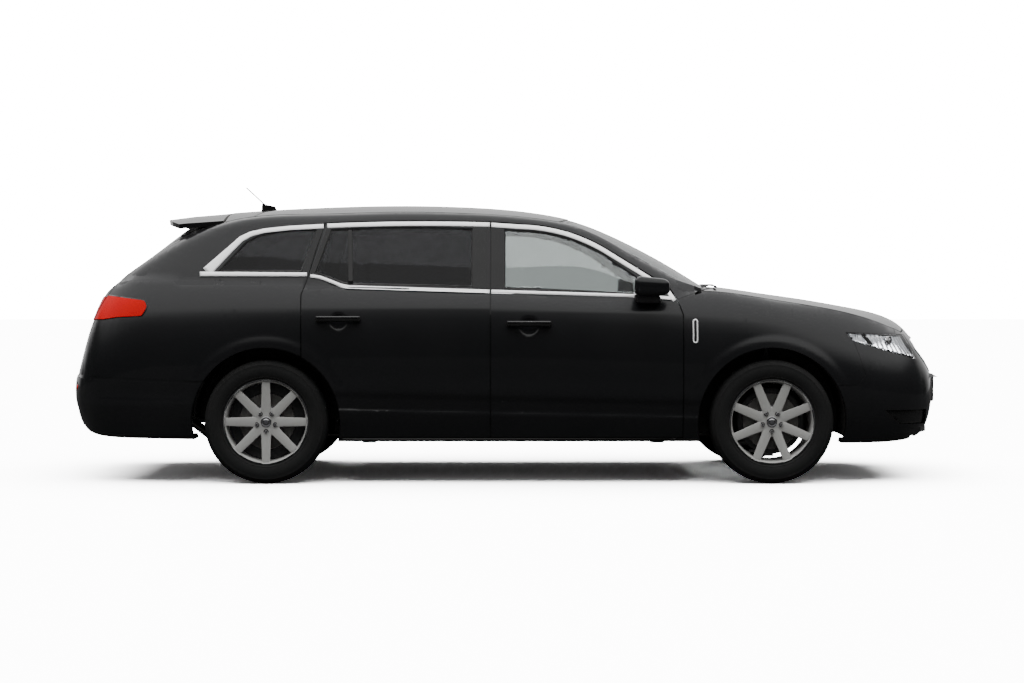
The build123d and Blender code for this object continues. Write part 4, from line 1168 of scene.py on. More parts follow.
@dataclass
class Wheel:
    """One wheel: turned rim, eight flat spokes, hub with nuts and cap, brake and tyre."""

    axle: Vector
    side: Side
    place: str
    phase: float
    spokes: int = 8
    nuts: int = 5
    nut_circle: float = 0.058
    spoke_tip: SpokeEnd = SpokeEnd(0.0250, 0.0925, 0.0500, 0.2385)
    spoke_root: SpokeEnd = SpokeEnd(0.0310, 0.0800, 0.0440, 0.040)
    spoke_draft: float = 0.004
    lip_radius: float = 0.2455
    lip_depth: float = 0.09
    tread_radius: float = 0.3655

    def build(self) -> None:
        """Make rim and tyre, and fix them to the wheel body."""
        tag = f"{self.place}_{self.side.tag}"
        centre = Vector((self.axle.x, self.side.value * self.axle.y, self.axle.z))
        rim = self.rim()
        tyre = self.tyre()
        for bm in (rim, tyre):
            bmesh.ops.translate(bm, vec=centre, verts=bm.verts[:])
        finishes = (Palette.alloy, Palette.chrome, Palette.shade, Palette.plastic, Palette.disc)
        metal = make_object(f"rim_{tag}", rim, [finish.build() for finish in finishes])
        sharpen(metal)
        settle(metal, f"wheel_{tag}", f"wheel_{tag}", slot="alloy")
        rubber = make_object(f"tread_{tag}", tyre, [Palette.tyre.build()])
        sharpen(rubber, 40)
        settle(rubber, f"wheel_{tag}", f"tyre_{tag}", slot="tyre")

    def outboard(self, profile: Sequence[Point]) -> list[Point]:
        """Section turned to face outboard on this side."""
        return [(self.side.value * a, r) for a, r in profile]

    def add_ring(self, bm: bmesh.types.BMesh, profile: Sequence[Point], steps: int, slot: RimSlot,
                 closed: bool = False, spot: Point = (0, 0, 0)) -> None:
        """Turn a section and add it to the wheel.

        Args:
            bm: Wheel mesh that grows.
            profile: Section of (along, radius) points, facing outboard.
            steps: Steps round the axis.
            slot: Material slot of the ring.
            closed: Whether the section closes on itself.
            spot: Place of the ring's middle.
        """
        ring = turned(self.outboard(profile), steps, closed)
        bmesh.ops.translate(ring, vec=spot, verts=ring.verts[:])
        absorb(bm, ring, slot)

    def rim(self) -> bmesh.types.BMesh:
        """Rim, spokes, hub, nuts, cap and brake as one mesh.

        Returns:
            The mesh, with the material slots of RimSlot.
        """
        bm = turned(self.outboard([
            (0.098, 0.2575), (0.1035, 0.2530), (0.1030, 0.2480), (0.0960, 0.2440), (0.0880, 0.2370),
            (0.0600, 0.2330), (-0.0600, 0.2240), (-0.0980, 0.2300), (-0.1030, 0.2520), (-0.0980, 0.2560),
            (-0.0900, 0.2440), (-0.0500, 0.2320), (0.0300, 0.2390), (0.0750, 0.2450), (0.0900, 0.2540)]), 96)
        for face in bm.faces:
            outboard = self.side.value * face.calc_center_median().y
            on_lip = self.reach(face) > self.lip_radius and outboard > self.lip_depth
            face.material_index = RimSlot.CHROME if on_lip else RimSlot.ALLOY
        for i in range(self.spokes):
            absorb(bm, self.spoke(math.tau * (i + self.phase) / self.spokes))
        self.add_ring(bm, [
            (0.050, 0.0001), (0.050, 0.070), (0.062, 0.086), (0.0745, 0.088), (0.0795, 0.083), (0.081, 0.070),
            (0.081, 0.030), (0.081, 0.0001)], 64, RimSlot.ALLOY)
        for i in range(self.nuts):
            angle = math.tau * (i + 0.25) / self.nuts + math.pi / 2 + 0.31
            spot = Vector((self.nut_circle * math.cos(angle), 0, self.nut_circle * math.sin(angle)))
            well = [(0.0795, 0.0185), (0.0825, 0.0185), (0.0825, 0.0155), (0.0790, 0.0150)]
            self.add_ring(bm, well, 24, RimSlot.ALLOY, closed=True, spot=spot)
            self.add_ring(bm, [(0.0815, 0.0155), (0.0812, 0.0001)], 24, RimSlot.PLASTIC, spot=spot)
            nut = [(0.078, 0.0105), (0.0900, 0.0105), (0.0925, 0.0085), (0.0925, 0.0001)]
            self.add_ring(bm, nut, 6, RimSlot.CHROME, spot=spot)
        self.add_ring(bm, [
            (0.078, 0.031), (0.0845, 0.031), (0.0862, 0.0285), (0.0862, 0.0260), (0.0838, 0.0245),
            (0.0838, 0.0190), (0.0866, 0.0150), (0.0870, 0.0001)], 40, RimSlot.CHROME)
        self.add_ring(bm, [(0.0868, 0.0120), (0.0876, 0.0118), (0.0880, 0.0001)], 32, RimSlot.SHADE)
        self.brake(bm)
        return bm

    def brake(self, bm: bmesh.types.BMesh) -> None:
        """Add the disc, its hat, and a dark backing plate that is partly a dust cover and partly painted
        shade filling the wheel's depth.

        Args:
            bm: Wheel mesh that grows.
        """
        self.add_ring(bm, [
            (-0.012, 0.100), (-0.012, 0.164), (-0.010, 0.166), (0.014, 0.166), (0.016, 0.164), (0.016, 0.100),
        ], 72, RimSlot.DISC, closed=True)
        # Painted shade: a black sheet behind the spokes stands in for the dark depth of the wheel and blocks
        # the view through it; the rear one reaches out to the rim barrel.
        edge = 0.2262 if self.place == "rear" else 0.196
        shield_and_painted_shade = [(0.010, 0.158), (0.008, edge), (0.004, edge), (0.001, 0.158)]
        self.add_ring(bm, shield_and_painted_shade, 72, RimSlot.PLASTIC, closed=True)
        hat = [(0.010, 0.101), (0.016, 0.100), (0.048, 0.092), (0.050, 0.020), (0.030, 0.020)]
        self.add_ring(bm, hat, 48, RimSlot.SHADE, closed=True)

    def spoke(self, angle: float) -> bmesh.types.BMesh:
        """One flat spoke with bevelled front edges, narrowing to the rim.

        Args:
            angle: Turn about the axle.

        Returns:
            The spoke's mesh.
        """
        bm = bmesh.new()
        bmesh.ops.create_cube(bm, size=1.0)
        for vert in bm.verts:
            end = self.spoke_tip if vert.co.z > 0 else self.spoke_root
            front = self.side.value * vert.co.y > 0
            half = end.half - (0.0 if front else self.spoke_draft)
            along = self.side.value * (end.face_at if front else end.back_at)
            vert.co = (math.copysign(half, vert.co.x), along, end.radius)
        rims = [e for e in bm.edges if all(self.side.value * v.co.y > 0.07 for v in e.verts)
                and abs(e.verts[0].co.z - e.verts[1].co.z) > 0.1]
        bmesh.ops.bevel(bm, geom=rims, offset=0.0055, offset_type="OFFSET", segments=2, profile=0.6,
                        affect="EDGES", material=-1)
        bmesh.ops.rotate(bm, cent=(0, 0, 0), matrix=Matrix.Rotation(angle, 3, "Y"), verts=bm.verts[:])
        bmesh.ops.recalc_face_normals(bm, faces=bm.faces[:])
        return bm

    def tyre(self) -> bmesh.types.BMesh:
        """Tyre with crowned sidewalls, four grooves and tread blocks.

        Returns:
            The tyre's mesh.
        """
        half = [(0.0, 0.3680), (0.0105, 0.3680), (0.0115, 0.3605), (0.0205, 0.3605), (0.0215, 0.3678),
                (0.0480, 0.3672), (0.0490, 0.3600), (0.0575, 0.3600), (0.0585, 0.3668), (0.0840, 0.3640),
                (0.0960, 0.3590), (0.1040, 0.3500), (0.1105, 0.3400), (0.1125, 0.3380), (0.1120, 0.3360),
                (0.1160, 0.3220), (0.1172, 0.3050), (0.1150, 0.2880), (0.1110, 0.2740), (0.1085, 0.2690),
                (0.1092, 0.2665), (0.1060, 0.2600), (0.1000, 0.2555), (0.0920, 0.2560)]
        loop = list(reversed(half)) + [(-a, r) for a, r in half[1:]]
        bm = turned(loop, 108)
        blocks = [f for f in bm.faces
                  if self.tread_radius < self.reach(f) and f.calc_area() > 1e-4 and abs(f.normal.y) < 0.5]
        blocks += [f for f in bm.faces if 0.3600 < self.reach(f) <= self.tread_radius
                   and 0.0845 < abs(f.calc_center_median().y) < 0.0960]
        bmesh.ops.inset_individual(bm, faces=blocks, thickness=0.0022, depth=0.0, use_even_offset=True)
        return bm

    @staticmethod
    def reach(face: bmesh.types.BMFace) -> float:
        """Distance of a face's middle from the wheel's axis."""
        middle = face.calc_center_median()
        return math.hypot(middle.x, middle.z)


@dataclass
class Glazing:
    """Side windows, windscreen and rear window with their borders and pillar covers."""

    depth: float = 0.006

    def build(self) -> None:
        """Lay all glass and its black borders."""
        for side in Side:
            self.side_glass(side)
        screen = sampled([
            (1.145, 0.765), (1.145, -0.765, 1.312, 0.0), (0.315, -0.636), (0.315, 0.636, 0.395, 0.0)])
        lay_skin("windscreen_glass", screen, top_map(-0.003), UPWARD, "chassis", Palette.clear, step=0.03,
                 wall=0.004, nodes=["windscreen"], slot="clear_glass")
        lay_skin("windscreen_border", screen, top_map(-0.0022), UPWARD, "chassis", Palette.gloss,
                 [grown(screen, -0.040)], step=0.03, wall=0.0006)
        back = Vector((-1, 0, 0.4))
        lay_skin("tailgate_pane", TAILGATE_PANE, tail_map(0.001), back, "tailgate", Palette.privacy,
                 step=0.03, wall=0.004, nodes=["tailgate_glass"], slot="privacy_glass")
        lay_skin("tailgate_border", TAILGATE_PANE, tail_map(0.0022), back, "tailgate", Palette.gloss,
                 [grown(TAILGATE_PANE, -0.035)], step=0.03, wall=0.0006)

    def side_glass(self, side: Side) -> None:
        """Lay one side's windows, pillar covers and division bar.

        Args:
            side: Which side of the car.
        """
        out, tag = Vector((0, side.value, 0)), side.tag
        front, rear = f"front_door_{tag}", f"rear_door_{tag}"
        pane = side_map(side, -self.depth)
        cover = side_map(side, 0.0032)
        quarter_nodes = ["quarter_glass"] if side is Side.LEFT else []
        for name, outline, body, node, finish in (
            ("front_window", FRONT_WINDOW, front, [f"front_door_glass_{tag}"], Palette.clear),
            ("rear_window", REAR_WINDOW, rear, [f"rear_door_glass_{tag}"], Palette.privacy),
            ("quarter_window", QUARTER_WINDOW, "chassis", quarter_nodes, Palette.privacy),
        ):
            lay_skin(f"{name}_{tag}", grown(outline, 0.010), pane, out, body, finish, step=0.03, wall=0.0042,
                     nodes=node, slot="clear_glass" if finish is Palette.clear else "privacy_glass")
            lay_skin(f"{name}_seal_{tag}", grown(outline, 0.002), side_map(side, -0.0035), out, body,
                     Palette.rubber, [grown(outline, -0.009)], step=0.05, wall=0.004)
        for name, outline, body in (
            ("pillar_cover_b1", [(-0.091, 1.156), (-0.013, 1.154), (-0.013, 1.512), (-0.091, 1.518)], front),
            ("pillar_cover_b2", [(-0.202, 1.160), (-0.099, 1.156), (-0.099, 1.519), (-0.202, 1.520)], rear),
            ("pillar_cover_c1", [(-1.136, 1.256), (-1.050, 1.513), (-1.078, 1.514), (-1.172, 1.234)], rear),
            ("pillar_cover_c2", [(-1.184, 1.246), (-1.098, 1.512), (-1.133, 1.511), (-1.217, 1.260)],
             "chassis"),
        ):
            lay_skin(f"{name}_{tag}", outline, cover, out, body, Palette.gloss, step=0.04, wall=0.0018,
                     bevel=0.0005)
        lay_ribbon(f"division_bar_{tag}", spaced([(-0.926, 1.176), (-0.938, 1.522)], 0.03), 0.030, side,
                   f"rear_door_{tag}", Palette.gloss, crown=0.003, base=-0.004, slot="black_plastic")


@dataclass
class BrightTrim:
    """Bright window surround, belt strip and door handles of one side."""

    side: Side

    def build(self) -> None:
        """Lay the strips and handles."""
        tag = self.side.tag
        front, rear = f"front_door_{tag}", f"rear_door_{tag}"
        front_top = grown(FRONT_DOOR, -0.0145)[3:]
        rear_top = grown(REAR_DOOR, -0.0145)[1:16]
        front_top[-1] = (-0.0905, front_top[-1][1])
        rear_top[0] = (-0.0995, rear_top[0][1])
        strips = (
            ("top_front", front_top, (0.024, 0.027, 0.027), front),
            ("top_rear", rear_top, (0.027,), rear),
            ("belt_front", [(-0.090, 1.140), (0.745, 1.114), (0.975, 1.100)], (0.020,), front),
            ("belt_rear", [(-0.100, 1.140), (-0.940, 1.166), (-0.990, 1.178), (-1.060, 1.206),
                           (-1.110, 1.224), (-1.166, 1.232)], (0.020,), rear),
            ("quarter", [(-1.096, 1.530), (-1.300, 1.519), (-1.448, 1.503), (-1.530, 1.484), (-1.590, 1.452),
                         (-1.788, 1.256)], (0.027, 0.027, 0.028, 0.040, 0.062), "chassis"),
            ("quarter_belt", [(-1.186, 1.240), (-1.600, 1.242), (-1.828, 1.243)], (0.024, 0.028), "chassis"),
        )
        for name, path, widths, body in strips:
            lay_ribbon(f"bright_{name}_{tag}", spaced(path, 0.02), 0.02, self.side, body, Palette.bright,
                       crown=0.004, base=0.007 if "belt" in name else 0.003,
                       widths=widths if len(widths) > 1 else widths * 2)
        self.fender_loop()
        for name, (x, z), body in zip(("front", "rear"), FORM.handles, (front, rear)):
            self.handle(name, Vector((x, 0.0, z)), body)

    def fender_loop(self) -> None:
        """Plain bright loop on the front fender, without a mark."""
        middle, top, low, half = 1.115, 0.962, 0.850, 0.012
        fore, aft = middle + half, middle - half
        loop = [(aft, low)] + arc_points((aft, low), (middle, low - half), (fore, low), 10)
        loop += [(fore, top)] + arc_points((fore, top), (middle, top + half), (aft, top), 10)
        lay_ribbon(f"fender_loop_{self.side.tag}", spaced(loop + loop[:1], 0.006), 0.0085, self.side,
                   "chassis", Palette.bright, crown=0.002, base=0.003, rows=4)

    def handle(self, name: str, at: Vector, body: str) -> None:
        """Bar handle on two feet, with a bright cap.

        Args:
            name: Front or rear.
            at: Middle of the handle in side view.
            body: Door that carries it.
        """
        width = FORM.width_at(at.x, at.z)
        bm = rounded_block(Vector((0.264, 0.020, 0.034)), Vector((0, 0.034, 0)), 0.009, 4)
        cuts = [e for e in bm.edges if abs(e.verts[0].co.x - e.verts[1].co.x) > 0.1]
        bmesh.ops.subdivide_edges(bm, edges=cuts, cuts=9, use_grid_fill=True)
        for vert in bm.verts:
            vert.co.y += 0.006 * (1 - (vert.co.x / 0.132) ** 2) - 0.004
        for foot in (-0.106, 0.106):
            absorb(bm, rounded_block(Vector((0.042, 0.032, 0.026)), Vector((foot, 0.014, 0)), 0.006, 2))
        absorb(bm, rounded_block(Vector((0.250, 0.003, 0.008)), Vector((0, 0.0455, 0.011)), 0.0014, 2), 1)
        bmesh.ops.translate(bm, vec=(at.x, width, at.z), verts=bm.verts[:])
        if self.side is Side.RIGHT:
            flip_to_right(bm)
        finishes = [Palette.gloss.build(), Palette.chrome.build()]
        piece = make_object(f"{name}_handle_{self.side.tag}", bm, finishes)
        sharpen(piece)
        settle(piece, body)


@dataclass
class EndPanels:
    """Bonnet, roof, bumpers, tailgate, grille and lamps."""

    def build(self) -> None:
        """Lay the panels of both ends and the top."""
        hood = sampled([
            (1.172, 0.800, 1.330, 0.0), (1.572, 0.786), (1.850, 0.761), (2.116, 0.721), (2.300, 0.656),
            (2.390, 0.560), (2.390, -0.560, 2.466, 0.0), (2.300, -0.656), (2.116, -0.721), (1.850, -0.761),
            (1.572, -0.786), (1.172, -0.800)])
        lay_skin("hood_skin", hood, top_map(SKIN_LIFT), UPWARD, "hood", Palette.paint, step=0.028,
                 bevel=PAINT_EDGE, slot="body_paint")
        roof = sampled([(0.310, 0.640), (0.310, -0.640, 0.390, 0.0), (-1.700, -0.590), (-1.700, 0.590)])
        lay_skin("roof_skin", roof, top_map(SKIN_LIFT), UPWARD, "chassis", Palette.paint, step=0.035,
                 bevel=PAINT_EDGE, slot="body_paint")
        self.front()
        self.rear()

    @staticmethod
    def top_of(x: float, y: float) -> Point:
        """Wrapped front coordinates of the upper surface at x and y."""
        return FRONT_WRAP.around(x, y), FORM.height_at(x, y)

    def front(self) -> None:
        """Front bumper skin with the openings for lamps and grille, and the grille itself."""
        arch = [(FRONT_AXLE.x + math.sqrt(ARCH_RADIUS ** 2 - (z - FRONT_AXLE.z) ** 2), z)
                for z in np.linspace(0.250, 0.580, 12)]
        below = spaced([(2.064, 0.838), (2.233, 0.790), (2.476, 0.724)], 0.03)
        ahead = spaced([(2.478, 0.735), (2.406, 0.878)], 0.03)
        edge = arch + [(2.079, 0.580), (2.128, 0.647)] + below + ahead + [(2.336, 0.882)]
        hood = [(2.336, 0.625), (2.396, 0.566), (2.425, 0.440), (2.448, 0.300), (2.463, 0.150), (2.472, 0.0)]
        half = [FRONT_WRAP.on_side(x, z) for x, z in edge] + [self.top_of(x, y) for x, y in hood]
        outline = half + mirrored(reversed(half[:-1]))
        lamp = [FRONT_WRAP.on_side(x, z) for x, z in self.lamp_outline()]
        mouth = [FRONT_WRAP.on_end(y, z) for y, z in self.grille_outline()]
        fog_corners = [(2.252, 0.434), (2.536, 0.428), (2.536, 0.340), (2.348, 0.348)]
        fog = [FRONT_WRAP.on_side(x, z) for x, z in spaced_loop(fog_corners, 0.03)]
        far_fog = mirrored(fog)
        intake_corners = [(-0.330, 0.470), (-0.300, 0.362), (0.300, 0.362), (0.330, 0.470)]
        intake = [FRONT_WRAP.on_end(y, z) for y, z in spaced_loop(intake_corners, 0.03)]
        lay_skin("front_bumper_skin", outline, FRONT_WRAP.mapping(SKIN_LIFT), FORWARD, "chassis",
                 Palette.paint, [mouth, fog, far_fog, intake], step=0.028, bevel=PAINT_EDGE,
                 slot="bumper_paint")
        for name, pocket in (("fog_floor_left", fog), ("fog_floor_right", far_fog), ("intake_floor", intake)):
            lay_skin(name, pocket, FRONT_WRAP.mapping(-0.012), FORWARD, "chassis", Palette.gloss, step=0.03)
        self.intake_bars(intake)
        lay_skin("grille_back", grown(mouth, 0.004), FRONT_WRAP.mapping(-0.030), FORWARD, "chassis",
                 Palette.plastic, step=0.04, wall=0.004, nodes=["grille"], slot="bright_grille")
        self.grille_bars(mouth)
        for side, cover in ((Side.LEFT, lamp), (Side.RIGHT, mirrored(lamp))):
            self.headlamp(side, cover)

    @staticmethod
    def lamp_outline() -> Outline:
        """Headlamp in side view."""
        corners = [(2.020, 0.893), (2.400, 0.873), (2.469, 0.733), (2.233, 0.797), (2.061, 0.846)]
        return spaced_loop(corners, 0.02)

    @staticmethod
    def grille_outline() -> Outline:
        """Grille in front view.

        Returns:
            Points round the opening.
        """
        corners = [(-0.500, 0.850), (-0.560, 0.790), (-0.420, 0.660), (0.420, 0.660),
                   (0.560, 0.790), (0.500, 0.850)]
        return spaced_loop(corners, 0.02)

    def grille_bars(self, mouth: Outline) -> None:
        """Horizontal bars across the grille and a bright frame round it.

        Args:
            mouth: Grille opening in wrapped coordinates.
        """
        rim = np.array(mouth)
        bm = bmesh.new()
        for z in np.linspace(0.690, 0.825, 5):
            inside = rim[np.abs(rim[:, 1] - z) < 0.014]
            reach = np.abs(inside[:, 0]).max() - 0.004
            path = [(u, float(z)) for u in np.linspace(-reach, reach, 60)]
            strip, lifts = MeshBuilder.ribbon(path, 0.014, 4, 0.006)
            MeshBuilder.place_strip(strip, lifts, FRONT_WRAP.mapping(-0.014), FORWARD)
            absorb(bm, strip)
        bars = make_object("grille_bars", bm, [Palette.chrome.build()])
        thicken(bars, 0.010)
        settle(bars, "chassis", slot="bright_grille")
        loop = grown(mouth, 0.006)
        strip, lifts = MeshBuilder.ribbon(loop + loop[:1], 0.016, 4, 0.004)
        MeshBuilder.place_strip(strip, lifts, FRONT_WRAP.mapping(0.003), FORWARD)
        trim = make_object("grille_frame", strip, [Palette.chrome.build()])
        thicken(trim, 0.006)
        settle(trim, "chassis")

    def intake_bars(self, intake: Outline) -> None:
        """Two level bars across the lower intake and a plain plate carrier above it.

        Args:
            intake: Intake opening in wrapped coordinates.
        """
        reach = max(u for u, _ in intake) - 0.03
        bm = bmesh.new()
        for z in (0.390, 0.430):
            path = [(u, z) for u in np.linspace(-reach, reach, 50)]
            strip, lifts = MeshBuilder.ribbon(path, 0.012, 4, 0.006)
            MeshBuilder.place_strip(strip, lifts, FRONT_WRAP.mapping(-0.009), FORWARD)
            absorb(bm, strip)
        bars = make_object("intake_bars", bm, [Palette.gloss.build()])
        thicken(bars, 0.006)
        settle(bars, "chassis")
        plate = rounded_block(Vector((0.052, 0.360, 0.176)), Vector((2.644, 0.0, 0.538)), 0.014, 3)
        piece = make_object("front_plate", plate, [Palette.plastic.build()])
        sharpen(piece)
        settle(piece, "chassis")

    def headlamp(self, side: Side, outline: Outline) -> None:
        """Clear lens, dark housing, two fluted cells and a bright bowl.

        Args:
            side: Which side of the car.
            outline: Lamp opening in wrapped coordinates.
        """
        tag = side.tag
        out = Vector((1, side.value * 0.8, 0.2))
        nodes = ["headlamps"] if side is Side.LEFT else []
        lay_skin(f"headlamp_lens_{tag}", grown(outline, 0.002), FRONT_WRAP.mapping(0.0015), out, "chassis",
                 Palette.lens, step=0.025, wall=0.003, nodes=nodes, slot="lamp_lens")
        lay_skin(f"headlamp_house_{tag}", grown(outline, 0.004), FRONT_WRAP.mapping(-0.050), out, "chassis",
                 Palette.gloss, step=0.025, wall=0.004)
        for i, corners in enumerate((
            [(2.036, 0.886), (2.118, 0.883), (2.166, 0.821), (2.066, 0.848)],
            [(2.146, 0.880), (2.394, 0.867), (2.456, 0.742), (2.206, 0.810)],
        )):
            cell = [FRONT_WRAP.on_side(x, z) for x, z in spaced_loop(corners, 0.02)]
            if side is Side.RIGHT:
                cell = mirrored(cell)
            lay_skin(f"headlamp_cell_{tag}_{i}", cell, self.fluted, out, "chassis", Palette.reflector,
                     step=0.006, wall=0.003)
        x, z, radius = 2.300, 0.838, 0.030
        y = FORM.width_at(x, z)
        profile = [(-0.014, radius * 1.10), (0.002, radius * 1.15), (0.004, radius), (-0.004, 0.92 * radius),
                   (0.003, 0.7 * radius), (0.008, 0.4 * radius), (0.010, 0.0001)]
        bowl = turned(profile, 40, closed=False)
        aim = Matrix.Rotation(math.radians(-58), 3, "Z")
        bmesh.ops.rotate(bowl, cent=(0, 0, 0), matrix=aim, verts=bowl.verts[:])
        bmesh.ops.translate(bowl, vec=(x - 0.006, y - 0.012, z), verts=bowl.verts[:])
        if side is Side.RIGHT:
            flip_to_right(bowl)
        settle(make_object(f"headlamp_bowl_{tag}", bowl, [Palette.chrome.build()]), "chassis")

    @staticmethod
    def fluted(u: np.ndarray, z: np.ndarray) -> np.ndarray:
        """Mapping of a fluted reflector just below the lens.

        Args:
            u: Wrapped coordinates round the nose.
            z: Heights.

        Returns:
            Points of the reflector.
        """
        ripple = -0.016 + 0.0015 * np.sin(u * math.tau / 0.026) + 3.0 * (z - 0.83) ** 2
        places = FRONT_WRAP.mapping(0.0)(u, z)
        turn = u / FRONT_WRAP.reach
        spread = np.stack([np.cos(turn), np.sin(turn), np.zeros_like(u)], axis=1)
        return places + spread * ripple[:, None]

    def rear(self) -> None:
        """Rear bumper, tailgate and tail lamps."""
        arch = [(REAR_AXLE.x - math.sqrt(ARCH_RADIUS ** 2 - (z - REAR_AXLE.z) ** 2), z)
                for z in np.linspace(0.285, 0.598, 12)]
        edge = arch + [(-1.885, 0.598), (-2.100, 0.604), (-2.300, 0.611), (-2.420, 0.615)]
        crest = [(0.640, 0.620), (0.500, 0.623), (0.300, 0.622), (0.0, 0.622)]
        notch = [(0.450, 0.300), (0.462, 0.342), (0.630, 0.342), (0.636, 0.300)]
        half = [REAR_WRAP.on_end(y, z) for y, z in notch] + [REAR_WRAP.on_side(-2.30, 0.285)]
        half += [REAR_WRAP.on_side(x, z) for x, z in edge] + [REAR_WRAP.on_end(y, z) for y, z in crest]
        outline = half + mirrored(reversed(half[:-1]))
        lay_skin("rear_bumper_skin", outline, REAR_WRAP.mapping(SKIN_LIFT), BACKWARD, "chassis",
                 Palette.paint, step=0.028, bevel=PAINT_EDGE, slot="bumper_paint")
        gate = [(float(y), FORM.height_at(-1.708, y) - 0.002) for y in np.linspace(-0.588, 0.588, 15)]
        gate += [(0.598, 1.270), (0.640, 1.100), (0.640, 0.900), (0.560, 0.636), (-0.560, 0.636),
                 (-0.640, 0.900), (-0.640, 1.100), (-0.598, 1.270)]
        lay_skin("tailgate_skin", gate, tail_map(SKIN_LIFT), BACKWARD, "tailgate", Palette.paint,
                 [grown(TAILGATE_PANE, 0.003)], step=0.030, fine=[(1, 1.45, 1.66, 0.008)], wall=0.022,
                 bevel=PAINT_EDGE, nodes=["tailgate"], slot="body_paint")
        wing = sampled([(-1.714, 0.580), (-1.985, 0.556), (-1.985, -0.556, -2.112, 0.0), (-1.714, -0.580)])
        lay_skin("spoiler", wing, self.spoiler_top, UPWARD, "tailgate", Palette.paint, step=0.03, wall=0.030,
                 bevel=0.008, slot="body_paint")
        for side in Side:
            self.tail_lamp(side)
        self.rear_details()
        band = spaced([(-0.632, 0.968), (0.632, 0.968)], 0.05)
        band += spaced([(0.632, 1.108), (-0.632, 1.108)], 0.05)
        lay_skin("tailgate_lens", band, tail_map(0.007), BACKWARD, "tailgate", Palette.red, step=0.03,
                 wall=0.006, bevel=0.0015, nodes=["tailgate_lamp"], slot="tail_lens")

    @staticmethod
    def tail_lamp(side: Side) -> None:
        """Lay one tail lamp's lens and the dark seal round it.

        Args:
            side: Which side of the car.
        """
        near = [(-2.408, 0.974), (-2.320, 0.987), (-2.160, 0.996), (-2.142, 1.022), (-2.129, 1.058),
                (-2.150, 1.087), (-2.392, 1.115)]
        lamp = [REAR_WRAP.on_side(x, z) for x, z in spaced(near, 0.02)]
        lamp += [REAR_WRAP.on_end(0.648, z) for z in (1.112, 1.060, 1.010, 0.972)]
        if side is Side.RIGHT:
            lamp = mirrored(lamp)
        out = Vector((-1, side.value, 0))
        nodes = ["tail_lamps"] if side is Side.LEFT else []
        lay_skin(f"tail_seal_{side.tag}", grown(lamp, 0.005), REAR_WRAP.mapping(0.003), out, "chassis",
                 Palette.gloss, step=0.03, wall=0.002)
        lay_skin(f"tail_lens_{side.tag}", lamp, REAR_WRAP.mapping(0.007), out, "chassis", Palette.red,
                 step=0.02, wall=0.006, bevel=0.0015, nodes=nodes, slot="tail_lens")

    @staticmethod
    def spoiler_top(x: np.ndarray, y: np.ndarray) -> np.ndarray:
        """Mapping from plan to the spoiler's upper face, which carries the roof line back.

        Args:
            x: Places along the car.
            y: Places across the car.

        Returns:
            Points of the face.
        """
        crown = np.interp(x, (-2.112, -1.950, -1.770, -1.714), (1.586, 1.607, 1.622, 1.627))
        return np.stack([x, y, crown - 0.060 * (y / 0.575) ** 2], axis=1)

    def rear_details(self) -> None:
        """Handle bar, rear wiper and bumper reflectors."""
        for name, path, width, lift, finish in (
            ("tailgate_bar", [(-0.330, 0.905), (0.330, 0.905)], 0.034, 0.010, Palette.bright),
            ("rear_wiper", [(-0.020, 1.205), (0.120, 1.222), (0.360, 1.240)], 0.018, 0.014, Palette.plastic),
        ):
            bm, lifts = MeshBuilder.ribbon(spaced(path, 0.02), width, 5, 0.006)
            MeshBuilder.place_strip(bm, lifts, tail_map(lift), BACKWARD)
            strip = make_object(name, bm, [finish.build()])
            thicken(strip, 0.008)
            settle(strip, "tailgate")
        corners = [(0.520, 0.545), (0.640, 0.545), (0.640, 0.575), (0.520, 0.575)]
        for side in Side:
            spots = [REAR_WRAP.on_end(y, z) for y, z in spaced_loop(corners, 0.03)]
            if side is Side.RIGHT:
                spots = mirrored(spots)
            lay_skin(f"rear_reflector_{side.tag}", spots, REAR_WRAP.mapping(0.005), BACKWARD, "chassis",
                     Palette.red, step=0.02, wall=0.004)


@dataclass
class Wipers:
    """Two parked windscreen wipers, each an arm and a blade."""

    def build(self) -> None:
        """Lay blades and arms over the foot of the windscreen."""
        for name, path, width, lift, crown in (
            ("blade_left", [(1.176, 0.640), (1.230, 0.420), (1.262, 0.200), (1.268, 0.020)],
             0.012, 0.004, 0.008),
            ("blade_right", [(1.262, -0.010), (1.256, -0.200), (1.222, -0.420), (1.182, -0.580)],
             0.012, 0.004, 0.008),
            ("arm_left", [(1.252, 0.300), (1.282, 0.180), (1.305, 0.060)], 0.020, 0.012, 0.006),
            ("arm_right", [(1.240, -0.310), (1.276, -0.430), (1.268, -0.560)], 0.020, 0.012, 0.006),
        ):
            bm, lifts = MeshBuilder.ribbon(spaced(path, 0.02), width, 4, crown)
            MeshBuilder.place_strip(bm, lifts, top_map(lift), UPWARD)
            piece = make_object(f"wiper_{name}", bm, [Palette.plastic.build()])
            thicken(piece, 0.006)
            settle(piece, "chassis", slot="black_plastic")


